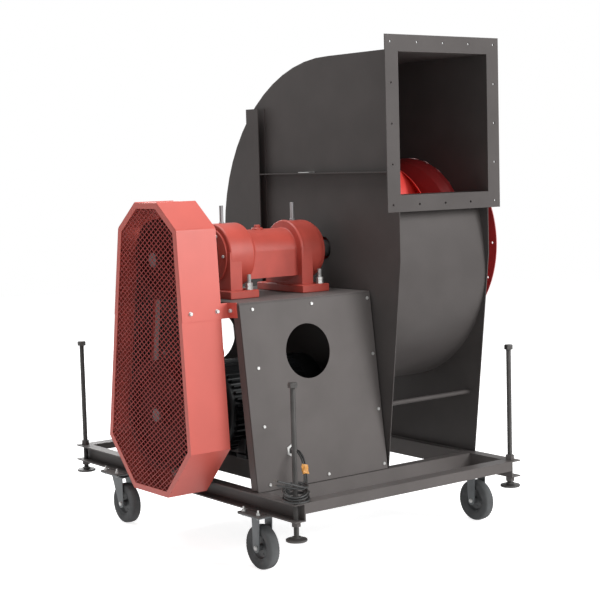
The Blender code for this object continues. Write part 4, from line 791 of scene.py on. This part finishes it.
class FAN_OT_casters(bpy.types.Operator):
    """Add treaded tyres, rims, axle bolts and plate bolts"""

    bl_idname = "fan.casters"
    bl_label = "Casters"

    def tyre(self, blocks):
        """A tyre about Z, with v from -1 to 1 across its tread and a the angle.

        r = R - 0.018 |v|^3.2 and z = half sin(90 v), less c clip(1.6 sin(blocks a) - 0.6) on the shoulders
        and a groove at each side of the middle. The side walls are a turned profile.
        """
        v = np.linspace(-1, 1, 25)[:, None]
        angle = (np.arange(blocks * 4) * 2 * math.pi / (blocks * 4))[None, :]
        crown = WHEEL_RADIUS - 0.018 * np.abs(v) ** 3.2
        cut = np.clip(1.6 * np.sin(blocks * angle + 3.0 * np.sign(v)) - 0.6, 0, 1) * 0.0016
        ring = crown - cut * np.clip(np.abs(v) * 2.2 - 0.5, 0, 1) * (np.abs(v) < 0.97)
        ring = ring - 0.0012 * (np.abs(np.abs(v) - 0.30) < 0.045)
        height = TYRE_HALF * np.sin(v * math.pi / 2) * np.ones_like(angle)
        outer = np.stack([ring * np.cos(angle), ring * np.sin(angle), height], -1)
        side = np.array([(0.078, 1), (0.070, 1), (0.062, 0.90), (0.0563, 0.74)]) * (1, TYRE_HALF)
        return np.concatenate([outer, turned(np.concatenate([side, side[::-1] * (1, -1)]), blocks * 4)])

    def rim(self, spot):
        """A dished wheel disc with its hub, and five rivets on each side."""
        upper = [(0.0068, RIM_HALF), (0.015, RIM_HALF), (0.015, 0.006), (0.020, 0.004), (0.045, 0.004)]
        upper += [(0.050, 0.012), (0.0525, 0.018), (0.056, 0.020)]
        disc = Shape().spin(upper + [(r, -z) for r, z in reversed(upper)], stand(*spot, "right"), 56, 0.0015)
        rivet = [(0, 0.0035), (0.0045, 0.0035), (0.0045, 0.0058), (0, 0.0062)]
        for a, b in circle(0.033, 5):
            for facing in ("right", "left"):
                disc.spin(rivet, stand(*spot, facing) @ stand(a, b), 12, closed=False)
        return disc

    def execute(self, context):
        sizes, _ = user(context)
        for corner, (sx, sy) in CORNER_SIGNS.items():
            low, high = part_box(f"caster_tyre_{corner}")
            x, y, z = (low.x + high.x) / 2, (low.y + high.y) / 2, WHEEL_RADIUS
            place = stand(x, y, z, "right")
            wheel = f"wheel_{corner}"
            tyre = Shape().add(self.tyre(sizes.tread_blocks), place, closed=True)
            piece(f"caster_tread_{corner}", tyre, "tyre_rubber", wheel, [f"caster_tyre_{corner}"], sharp=50)
            rim = self.rim((x, y, z))
            piece(f"caster_wheel_disc_{corner}", rim, "rim_paint", wheel, [f"caster_rim_{corner}"])
            low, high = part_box(f"caster_axle_{corner}")
            axle = Shape().spin(rod(0.006, -0.036, 0.036), place, 20, closed=False)
            height = high.x - x - AXLE_SEAT - WASHER_T
            fitted(axle, stand(x + AXLE_SEAT, y, z, "right"), 0.018, height, 1.2)
            height = x - AXLE_SEAT - low.x - WASHER_T - 0.002
            fitted(axle, stand(x - AXLE_SEAT, y, z, "left"), 0.018, height, 1.2, 0.006, 0.0015)
            body = f"swivel_fork_{corner}" if sy > 0 else "frame"
            piece(f"caster_axle_bolt_{corner}", axle, "zinc", body, [f"caster_axle_{corner}"])
            nuts, heads = Shape(), Shape()
            for dx, dy in CORNERS:
                spot = sx * PLATE_X + SHIFT + dx * PLATE_HOLES[0], PLATE_Y[sy] + dy * PLATE_HOLES[1]
                fitted(nuts, stand(*spot, 0.2582), 0.016, 0.009, 1.25, 0.005, 0.013)
                fitted(heads, stand(*spot, 0.2465, "down"), 0.016, 0.006, 0)
            piece(f"caster_nuts_{corner}", nuts, "zinc")
            piece(f"caster_bolt_heads_{corner}", heads, "zinc")
        return {"FINISHED"}


class FAN_OT_casing(bpy.types.Operator):
    """Add the scroll's smooth sheet, the inlet ring, the tie tube and the level bar's cleat"""

    bl_idname = "fan.casing"
    bl_label = "Casing"

    def scroll(self):
        """The scroll's path in Y and Z, from the outlet's top round to the tongue.

        r = r0 + (r1 - r0) (a / 270)^0.85, with its kinks smoothed by the mean of each point and its
        neighbours.
        """
        angle = np.linspace(270, -20, 180)
        share = np.maximum(angle, 0) / 270
        radius = SCROLL_RADII[0] + (SCROLL_RADII[1] - SCROLL_RADII[0]) * share ** 0.85 + SHEET_HALF
        for _ in range(30):
            radius[1:-1] = (radius[:-2] + 2 * radius[1:-1] + radius[2:]) / 4
        turn = np.radians(angle)
        spiral = np.column_stack([SHAFT_YZ[0] - radius * np.cos(turn), SHAFT_YZ[1] - radius * np.sin(turn)])
        bend = np.radians(np.linspace(-60, 90, 16))
        tongue = TONGUE + TONGUE_RADIUS * np.column_stack([np.cos(bend), np.sin(bend)])
        return np.concatenate([[(OUTLET_Y, OUTLET_TOP)], spiral, tongue,
                               [(OUTLET_Y, TONGUE[1] + TONGUE_RADIUS)]])

    def execute(self, context):
        path = self.scroll()
        low, high = CASING_X[0] + SKIN, CASING_X[1] - SKIN
        run = np.column_stack([np.full(len(path), (low + high) / 2), path])
        sheet = strip((high - low) / 2, -SHEET_HALF, SHEET_HALF)
        wrap = Shape().add(carried(run, sheet, (1, 0, 0)), capped=True)
        piece("scroll_sheet", wrap, "casing_paint", replaced=["scroll_wrap"], sharp=30)

        face = INLET_END_X - 0.004
        outer = [(0.480, INLET_END_X), (0.480, face), (0.4275, face), (0.4255, face - 0.004), (0.4255, 0.689)]
        outer += [(0.402, 0.6495), (0.341, 0.6295), (0.2855, 0.6225), (0.2755, 0.6065)]
        inner = [(0.2725, 0.6085), (0.2825, 0.6255), (0.339, 0.6335), (0.398, 0.6535), (0.4215, 0.690)]
        cone = Shape().spin(outer + inner + [(0.4215, INLET_END_X)], on_shaft(), 128, 0.0006)
        ring = piece("inlet_ring", cone, "ring_red_paint", replaced=["inlet_cone"], sharp=40)
        drill = Shape()
        for a, b in circle(*INLET_HOLES):
            drill.spin(rod(0.006, -0.01, 0.01), on_shaft(INLET_END_X - 0.002) @ stand(a, b), 16, closed=False)
        drilled(ring, drill)

        tie = Shape().spin(rod(0.011, low, high), stand(0, -0.621, 0.634, "right"), 28, closed=False)
        piece("tie_tube", tie, "casing_paint", replaced=["tie_pipe"])
        cleat = slab((0.040, 0.085, 0.004), 0.003, 0.001)
        cleat = Shape().add(cleat, stand(0.128, -0.105, 1.7315), capped=True)
        piece("level_bar_cleat", cleat, "zinc")
        return {"FINISHED"}


class FAN_OT_impeller(bpy.types.Operator):
    """Add the impeller with its shroud, swept blades and hub"""

    bl_idname = "fan.impeller"
    bl_label = "Impeller"

    def execute(self, context):
        axis = on_shaft(SHIFT)
        plate = [(0.057, 0.237), (IMPELLER_RADIUS, 0.237), (IMPELLER_RADIUS, 0.243), (0.057, 0.243)]
        wheel = Shape().spin(plate, axis, 128, 0.001)
        guide = [(IMPELLER_RADIUS, 0.470), (0.380, 0.492), (0.340, 0.521), (0.305, 0.545), (0.291, 0.556)]
        shroud = rounded(guide + [(0.287, 0.565)], 0.02, 4, False)
        wheel.spin(np.concatenate([shroud + (0, 0.002), shroud[::-1] - (0, 0.002)]), axis, 128)
        share = np.linspace(0, 1, 14)
        radius = 0.292 + (0.396 - 0.292) * share
        lowest = np.full(len(share), 0.2425)
        highest = np.interp(radius, shroud[::-1, 0], shroud[::-1, 1]) - 0.001
        for k in range(BLADES):
            turn = -np.radians(BLADE_SWEEP * share ** 1.1) + 2 * math.pi * (k + 0.95) / BLADES
            line = np.column_stack([radius * np.cos(turn), radius * np.sin(turn)])
            ahead = np.gradient(line, axis=0)
            ahead /= np.linalg.norm(ahead, axis=1, keepdims=True)
            aside = np.column_stack([-ahead[:, 1], ahead[:, 0]]) * 0.002
            corners = [np.column_stack([line + sign * aside, height])
                       for sign, height in ((-1, lowest), (-1, highest), (1, highest), (1, lowest))]
            wheel.add(np.stack(corners, 1), axis, capped=True)
        piece("impeller_fan", wheel, "impeller_paint", "fan_rotor", ["impeller_wheel"])
        hub = [(0.0406, 0.330), (0.055, 0.330), (0.055, 0.2555), (0.110, 0.2555), (0.110, 0.2435),
               (0.055, 0.2435), (0.055, 0.205), (0.0406, 0.205)]
        boss = Shape().spin(hub, axis, 64, 0.0015)
        for a, b in circle(0.085, 8):
            fitted(boss, axis @ stand(a, b, 0.2553), 0.017, 0.008, 1.2)
        # The hub takes the pulleys' iron, whose dark red-brown colour is painted shade
        piece("impeller_boss", boss, "pulley_iron", "fan_rotor", ["impeller_hub"])
        return {"FINISHED"}


class FAN_OT_bearing_unit(bpy.types.Operator):
    """Add the cast bearing housing, its covers, wells, plug, studs and nuts"""

    bl_idname = "fan.bearing_unit"
    bl_label = "Bearing unit"

    def housing(self, start, end):
        """Two bells and a tube turned about the shaft, on webs and feet with a round notch under it."""
        left, right = BEARING_X[0] + BELL_HALF, BEARING_X[1] - BELL_HALF
        outer = [(BELL_RADIUS - 0.006, start), (BELL_RADIUS, start + 0.006), (BELL_RADIUS, left - 0.010),
                 (BELL_RADIUS - 0.012, left), (TUBE_RADIUS, left + 0.018), (TUBE_RADIUS, right - 0.006),
                 (BELL_RADIUS - 0.004, right - 0.004), (BELL_RADIUS, right + 0.004),
                 (BELL_RADIUS, right + 0.012), (BELL_RADIUS - 0.004, right + 0.018),
                 (BELL_RADIUS - 0.004, end - 0.030),
                 (BELL_RADIUS - 0.010, end - 0.010), (BELL_RADIUS - 0.020, end), (HOUSING_BORE, end),
                 (HOUSING_BORE, start)]
        body = Shape().spin(outer, on_shaft(), 96, 0.006, 4)
        floor = PEDESTAL_TOP + SKIN - SHAFT_YZ[1]
        notch = np.concatenate([circle(NOTCH_RADIUS, 48)[24:], [(NOTCH_RADIUS, 0.0)]])[::-1]

        def cradle(half, foot, rim, edge, arc):
            """An outline with the half width at its foot, a level rim and an arc cut out of its top."""
            return np.concatenate([[(-half, foot), (half, foot), (half, rim), (edge, rim)], arc,
                                   [(-edge, rim), (-half, rim)]])

        web = cradle(BELL_RADIUS - 0.002, floor + 0.004, 0.020, 0.112, notch)
        for x in BEARING_X:
            body.add(prism(web, x - 0.075, x - 0.011), on_shaft(), capped=True)
        flank = TUBE_RADIUS + 0.001
        tray = cradle(flank, -flank, 0.012, 0.106, notch * 0.99)
        body.add(prism(tray, left - 0.010, right + 0.010), on_shaft(), capped=True)
        for x in BEARING_X:
            place = on_shaft(x - 0.0235, "up") @ stand(z=floor + HOUSING_FOOT[2] / 2)
            body.add(slab(HOUSING_FOOT, 0.005, 0.003), place, capped=True)
        piece("bearing_casting", body, "cast_red_paint", replaced=["bearing_housing"], sharp=38)

    def execute(self, context):
        start, end = BEARING_X[0] - BELL_HALF, BEARING_X[1] + BELL_HALF
        self.housing(start, end)
        top = on_shaft(-0.295 + SHIFT, "up")
        plug = [(0.027, 0.100), (0.027, 0.115), (0.024, 0.118), (0.0, 0.118)]
        plug = Shape().spin(plug, top, 40, closed=False)
        plug.add(hex_head(0.026, 0.014), top @ stand(z=0.1175))
        piece("bearing_plug", plug, "cast_red_paint", replaced=["bearing_housing"])
        wells = Shape()
        for x in BEARING_X:
            place = on_shaft(x - 0.016, "up")
            well = [(0, 0.130), (0.009, 0.130), (0.009, 0.2285), (0.0078, 0.230), (0, 0.230)]
            wells.spin(well, place, 28, closed=False)
            wells.spin([(0.0095, 0.140), (0.0125, 0.140), (0.0125, 0.152), (0.0095, 0.154)], place, 28)
        piece("bearing_wells", wells, "well_steel", replaced=["bearing_housing"])

        step = COVER_T - 0.002
        for side, x in (("left", start - SKIN), ("right", end + SKIN)):
            cap = [(0.044, 0), (COVER_RADIUS, 0), (COVER_RADIUS, COVER_T - 0.004),
                   (COVER_RADIUS - 0.002, step), (0.080, step), (0.076, COVER_T), (0.048, COVER_T),
                   (0.044, step)]
            place = on_shaft(x, side)
            cover = Shape().spin(cap, place, 80, 0.0012)
            piece(f"bearing_cap_{side}", cover, "cast_red_paint", replaced=[f"bearing_cover_{side}"])
            screws = Shape()
            for a, b in circle(0.104, 6):
                fitted(screws, place @ stand(a, b, step), 0.013, 0.007, 0)
            piece(f"bearing_cap_screws_{side}", screws, "zinc")
        for side, x in zip(("left", "right"), BEARING_X):
            ring = [(0.041, -0.025), (0.094, -0.025), (0.094, 0.025), (0.041, 0.025)]
            race = Shape().spin(ring, on_shaft(x), 64, 0.003, 3)
            piece(f"bearing_race_{side}", race, "bright_steel", replaced=[f"bearing_{side}"])
        studs, foot_top = Shape(), PEDESTAL_TOP + SKIN + HOUSING_FOOT[2]
        for x in BEARING_X:
            for sign in (-1, 1):
                place = stand(x + 0.020, SHAFT_YZ[0] + sign * STUD_FROM_AXIS, foot_top)
                fitted(studs, place, 0.030, 0.016, 1.15)
                studs.add(hex_head(0.030, 0.014), place @ stand(z=0.0178))
                studs.add(threaded(0.0097, -0.0505, 0.0697, 0.0025), place, capped=True)
        piece("bearing_studs", studs, "zinc")
        return {"FINISHED"}


class FAN_OT_drive(bpy.types.Operator):
    """Add the shafts, the grooved pulleys and the V-belts"""

    bl_idname = "fan.drive"
    bl_label = "Drive"

    def places(self):
        """Each groove's place from the pulleys' middle, in the order of the belts."""
        return [((BELT_COUNT - 1) / 2 - k) * BELT_PITCH for k in range(BELT_COUNT)]

    def pulley(self, radius, bore):
        """A grooved rim, a web and a hub, as one profile."""
        half = BELT_COUNT / 2 * BELT_PITCH + 0.008
        floor = radius - GROOVE_DEPTH
        inside = floor - 0.012
        side = [(bore, half), (0.055, half), (0.055, 0.010), (inside, 0.010), (inside, half), (radius, half)]
        grooves = []
        for middle in self.places():
            grooves += [(radius, middle + 0.0095), (floor, middle + 0.0075)]
            grooves += [(floor, middle - 0.0075), (radius, middle - 0.0095)]
        return side + grooves + [(r, -z) for r, z in reversed(side)]

    def belt(self, lift):
        """A belt's closed line in Y and Z round both pulleys, at a height over the groove's floor."""
        low, high = np.array(MOTOR_YZ), np.array(SHAFT_YZ)
        apart = np.linalg.norm(high - low)
        line = math.atan2(high[1] - low[1], high[0] - low[0])
        spread = math.acos((MOTOR_PULLEY - FAN_PULLEY) / apart)
        loops = []
        arcs = ((low, MOTOR_PULLEY, line + spread, line + 2 * math.pi - spread),
                (high, FAN_PULLEY, line - spread, line + spread))
        for centre, radius, begin, finish_at in arcs:
            turn = np.linspace(begin, finish_at, 48)
            ring = radius - GROOVE_DEPTH + lift
            loops.append(centre + ring * np.column_stack([np.cos(turn), np.sin(turn)]))
        return np.concatenate(loops)

    def execute(self, context):
        shaft = [(0, -0.878), (0.031, -0.878), (0.0325, -0.8765), (0.0325, -0.690), (0.0385, -0.690)]
        shaft += [(0.040, -0.6885), (0.040, 0.3235), (0.0385, 0.325), (0, 0.325)]
        piece("fan_axle", Shape().spin(shaft, on_shaft(SHIFT), closed=False), "bright_steel", "fan_rotor",
              ["fan_shaft"])
        low, high = -0.862, -0.200
        shaft = [(0, low), (0.0285, low), (0.030, low + 0.0015), (0.030, high), (0, high)]
        shaft = Shape().spin(shaft, on_motor(SHIFT), 56, closed=False)
        piece("motor_axle", shaft, "bright_steel", "motor_rotor", ["motor_shaft"])
        pulleys = (("fan_pulley", FAN_PULLEY, 0.0328, on_shaft, "fan_rotor"),
                   ("motor_pulley", MOTOR_PULLEY, 0.0303, on_motor, "motor_rotor"))
        # The pulleys' dark red-brown iron is painted shade for the inside of the belt guard
        for name, radius, bore, place, body in pulleys:
            wheel = Shape().spin(self.pulley(radius, bore), place(PULLEY_MID_X), 96, 0.0008)
            for a, b in circle(0.043, 3):
                screw = place(PULLEY_MID_X, "left") @ stand(a, b)
                wheel.spin(rod(0.005, 0.058, 0.0615), screw, 12, closed=False)
            piece(name + "_wheel", wheel, "pulley_iron", body, [name])
        # A belt's section: across its width, and over the groove's floor
        section = ((-0.0070, 0.006), (0.0070, 0.006), (0.0086, 0.0205), (0.0072, 0.0222), (-0.0072, 0.0222),
                   (-0.0086, 0.0205))
        for k, middle in enumerate(self.places()):
            rows = []
            for across, lift in section:
                line = self.belt(lift)
                rows.append(np.column_stack([np.full(len(line), PULLEY_MID_X + middle + across), line]))
            belt = Shape().add(np.array(rows), closed=True)
            piece(f"v_belt_{k + 1}", belt, "belt_rubber", replaced=["v_belt_band"])
        return {"FINISHED"}


class FAN_OT_motor(bpy.types.Operator):
    """Add the finned motor, its cowl, box lid and lifting eye"""

    bl_idname = "fan.motor"
    bl_label = "Motor"

    def barrel(self, count):
        """The finned barrel's outline: r = r0 + h clip(2.2 cos(count a) + 0.1), a going round."""
        angle = np.arange(count * 8) * 2 * math.pi / (count * 8)
        radius = MOTOR_RIBS + FIN_HEIGHT * np.clip(np.cos(count * angle) * 2.2 + 0.1, 0, 1)
        return np.column_stack([radius * np.cos(angle), radius * np.sin(angle)])

    def execute(self, context):
        sizes, _ = user(context)
        start, end = MOTOR_X
        body = Shape().add(prism(self.barrel(sizes.fin_count), start, end), on_motor(), capped=True)
        shield = [(0.034, -0.050), (0.110, -0.050), (0.135, -0.044), (0.188, -0.030), (0.200, -0.020)]
        body.spin(shield + [(0.200, 0.001), (0.034, 0.001)], on_motor(start), 80, 0.006, 3)
        under = on_motor((start + end) / 2, "up") @ stand(z=SKIN - MOTOR_DROP)
        foot, rib = slab((0.360, 0.076, 0.022), 0.006, 0.002), slab((0.040, 0.060, 0.080), 0.004, 0.002)
        for sign in (-1, 1):
            body.add(foot, under @ stand(0, sign * 0.178, 0.011), capped=True)
            for x in (-0.150, 0.150):
                body.add(rib, under @ stand(x, sign * 0.170, 0.055), capped=True)
        piece("motor_frame", body, "black_paint", replaced=["motor_body"])

        top = on_motor(-0.505 + SHIFT, "up")
        eye = Shape().spin(circle(0.008, 20) + (0.031, 0), top @ stand(z=0.251, facing="right"), 40)
        boss = [(0, 0.205), (0.016, 0.205), (0.016, 0.217), (0.010, 0.222), (0, 0.222)]
        piece("motor_eye", eye.spin(boss, top, 28, closed=False), "black_paint", replaced=["motor_body"])

        cowl = [(0.202, 0), (0.205, 0.001), (0.205, 0.110), (0.180, 0.140)]
        for k in range(7):
            edge = 0.165 - 0.020 * k
            cowl += [(edge, 0.140), (edge - 0.002, 0.1375), (edge - 0.008, 0.1375), (edge - 0.010, 0.140)]
        cowl += [(0.020, 0.140), (0, 0.140), (0, 0.136), (0.177, 0.136), (0.202, 0.108)]
        hood = Shape().spin(cowl, on_motor(end + SKIN), 80)
        piece("motor_hood", hood, "black_paint", replaced=["motor_fan_cowl"])

        low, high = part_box("motor_terminal_box")
        front = stand((low.x + high.x) / 2, low.y, (low.z + high.z) / 2, "front")
        lid = Shape().add(slab((0.172, 0.122, 0.005), 0.008, 0.0012), front @ stand(z=0.0022), capped=True)
        piece("motor_box_lid", lid, "black_paint")
        screws = Shape()
        for dx, dz in CORNERS:
            fitted(screws, front @ stand(dx * 0.072, dz * 0.048, 0.0046), 0.009, 0.004, 0)
        for x in (-0.480 + SHIFT, -0.200 + SHIFT):
            for sign in (-1, 1):
                place = on_motor(x, "up") @ stand(0, sign * 0.197, 0.0223 - MOTOR_DROP)
                fitted(screws, place, 0.024, 0.014, 1.3, 0.008, 0.012)
        piece("motor_fixings", screws, "zinc")
        return {"FINISHED"}


class FAN_OT_pedestal(bpy.types.Operator):
    """Add the pedestal's drilled panels and their screws"""

    bl_idname = "fan.pedestal"
    bl_label = "Pedestal"

    def execute(self, context):
        middle, width = sum(PEDESTAL_X) / 2, PEDESTAL_X[1] - PEDESTAL_X[0]
        foot, head = up_slope(PANEL_FOOT_Z + 0.0005), up_slope(PEDESTAL_TOP - 0.009)
        left, right = PEDESTAL_X[0] + 0.068, PEDESTAL_X[1] - 0.020
        places = [(x, z) for x in (left, right) for z in PANEL_SCREW_Z]
        places += [((left + right) / 2, z) for z in (PANEL_SCREW_Z[0], PANEL_SCREW_Z[-1])]
        rows = [(row, hand, panel_stand(row)) for row, hand in (("front", 1), ("rear", -1))]
        for row, hand, panel in rows:
            skin = Shape().add(slab((width - 2 * SKIN, head - foot, 0.0030), 0.002, 0.0005),
                               panel @ stand(hand * middle, (foot + head) / 2, 0.0018), capped=True)
            sheet = piece(f"pedestal_panel_{row}", skin, "frame_paint", replaced=[f"pedestal_{row}_panel"])
            place = panel @ stand(hand * PANEL_HOLE[0], up_slope(PANEL_HOLE[1]))
            holes = Shape().spin(rod(PANEL_HOLE_RADIUS, -0.01, 0.01), place, 72, closed=False)
            if row == "front":
                place = panel @ stand(GLAND[0], up_slope(GLAND[1]))
                holes.spin(rod(GLAND_HOLE, -0.01, 0.01), place, 40, closed=False)
            drilled(sheet, holes)
        for row, hand, panel in rows:
            screws = Shape()
            for x, z in places:
                fitted(screws, panel @ stand(hand * x, up_slope(z)), 0.014, 0.0065, 1.5)
            piece(f"panel_screws_{row}", screws, "zinc")
        return {"FINISHED"}


class FAN_OT_guard(bpy.types.Operator):
    """Add the guard's expanded metal, its upper skin, its back lip and its screws"""

    bl_idname = "fan.guard"
    bl_label = "Belt guard"

    def mesh(self, levels, sizes):
        """Zigzag strands in rows, z = z0 + (4 |phase - 1/2| - 1) step / 2, each row half a pitch on."""
        step, width = sizes.mesh_pitch_z / 2, sizes.mesh_strand / 2
        bottom, top = levels[0, 0] + MESH_EDGE, levels[-1, 0] - MESH_EDGE
        kinks = np.arange(-25, 26) * sizes.mesh_pitch_y / 2 + SHAFT_YZ[0]
        section = np.array(strip(0.0009, -width, width))
        face = Shape()
        for k, z in enumerate(np.arange(bottom + step / 2, top, step)):
            half = np.interp(z, levels[:, 0], levels[:, 1]) - 0.0055
            middle = np.interp(z, levels[:, 0], levels[:, 2])
            y = np.unique(np.clip(kinks, middle - half, middle + half))
            phase = (y - SHAFT_YZ[0]) / sizes.mesh_pitch_y + (k % 2) / 2
            wave = 4 * np.abs(phase - np.floor(phase) - 0.5) - 1
            rise = np.clip(z + wave * step / 2, bottom, top)
            lean = 0.0006 * (1 if k % 2 else -1)
            run = np.column_stack([np.full(len(y), GUARD_X[0] + 0.0034 + lean), y, rise])
            face.add(carried(run, section, (1, 0, 0)), capped=True)
        return face

    def execute(self, context):
        sizes, _ = user(context)
        levels = np.array(GUARD_LEVELS)
        mesh = self.mesh(levels, sizes)
        # The mesh's darker red is painted shade: the guard's red at the tone of its shaded side
        piece("guard_expanded_mesh", mesh, "mesh_red_paint", replaced=["guard_mesh"], sharp=60)

        skins = Shape()
        middle, half = (GUARD_X[0] + GUARD_X[1]) / 2, (GUARD_X[1] - GUARD_X[0]) / 2 - 2 * SKIN
        for sign in (-1, 1):
            sides = levels[:, 2] + sign * levels[:, 1]
            edge = [(np.interp(LAP_Z, levels[:, 0], sides), LAP_Z), *zip(sides[2:], levels[2:, 0])]
            line = rounded(edge, 0.006, 4, False)
            run = np.column_stack([np.full(len(line), middle), line])
            skins.add(carried(run, sign * np.array(strip(half, 0.0001, 0.0042)), (1, 0, 0)), capped=True)
        piece("guard_upper_skin", skins, "red_paint", sharp=30)

        right, left = (levels[:, [2, 0]] + sign * levels[:, [1]] * (1, 0) for sign in (1, -1))
        outline = np.concatenate([right, left[::-1]])
        back, front = GUARD_X[1] - 0.0004, GUARD_X[1] - 0.0024
        lip = [np.column_stack([np.full(len(outline), x), inset(outline, depth)])
               for depth, x in ((0.0015, back), (0.0015, front), (LIP, front), (LIP, back))]
        piece("guard_back_lip", Shape().add(np.array(lip), closed=True), "red_paint", sharp=30)

        low, high = levels[1], levels[2]
        slope = ((high[2] - high[1]) - (low[2] - low[1])) / (high[0] - low[0])
        y = high[2] - high[1] - slope * (high[0] - STRAP_Z)
        tilt = np.array(Matrix.Rotation(-math.atan(slope), 4, "X"))
        screws = Shape()
        for x in (-0.812, -0.672):
            fitted(screws, stand(x, y - 0.0042, STRAP_Z) @ tilt @ stand(facing="front"), 0.015, 0.008, 1.3)
        fitted(screws, stand(-0.6140, -0.495, STRAP_Z, "left"), 0.015, 0.008, 1.3)
        fitted(screws, stand(middle + 0.045, levels[0, 2], levels[0, 0] - 0.003, "down"), 0.016, 0.008, 1.3)
        piece("guard_screws", screws, "zinc")
        return {"FINISHED"}


class FAN_OT_dress(bpy.types.Operator):
    """Give every CAD node that still shows the finish of its slot"""

    bl_idname = "fan.dress"
    bl_label = "Finishes"

    def execute(self, context):
        slots = {part["node"]: part["material_slot"] for part in frame["record"]["subparts"]}
        for name, node in frame["nodes"].items():
            made = finish(slots[name])
            if not node.material_slots:
                node.data.materials.append(made)
            for slot in node.material_slots:
                slot.material = made
        return {"FINISHED"}


OPERATORS = (FAN_OT_stage, FAN_OT_cables, FAN_OT_jacks, FAN_OT_casters, FAN_OT_casing, FAN_OT_impeller,
             FAN_OT_bearing_unit, FAN_OT_drive, FAN_OT_motor, FAN_OT_pedestal, FAN_OT_guard, FAN_OT_dress)


class FAN_PT_panel(bpy.types.Panel):
    """The fan's sizes, colours and pieces"""

    bl_idname = "FAN_PT_panel"
    bl_label = "Centrifugal fan"
    bl_space_type = "VIEW_3D"
    bl_region_type = "UI"
    bl_category = "Fan"

    def draw(self, context):
        for group in user(context):
            column = self.layout.column()
            for name in group.bl_rna.properties.keys():
                if name not in {"rna_type", "name"}:
                    column.prop(group, name)
        for operator in OPERATORS:
            self.layout.operator(operator.bl_idname)


CLASSES = (FanSizes, FanFinishes, *OPERATORS, FAN_PT_panel)


def register():
    for item in CLASSES:
        bpy.utils.register_class(item)
    bpy.types.Scene.fan_sizes = PointerProperty(type=FanSizes)
    bpy.types.Scene.fan_finishes = PointerProperty(type=FanFinishes)


def unregister():
    del bpy.types.Scene.fan_finishes
    del bpy.types.Scene.fan_sizes
    for item in reversed(CLASSES):
        bpy.utils.unregister_class(item)


def main():
    """Build every piece in order."""
    register()
    for operator in OPERATORS:
        group, name = operator.bl_idname.split(".")
        getattr(getattr(bpy.ops, group), name)()


if __name__ == "__main__":
    main()
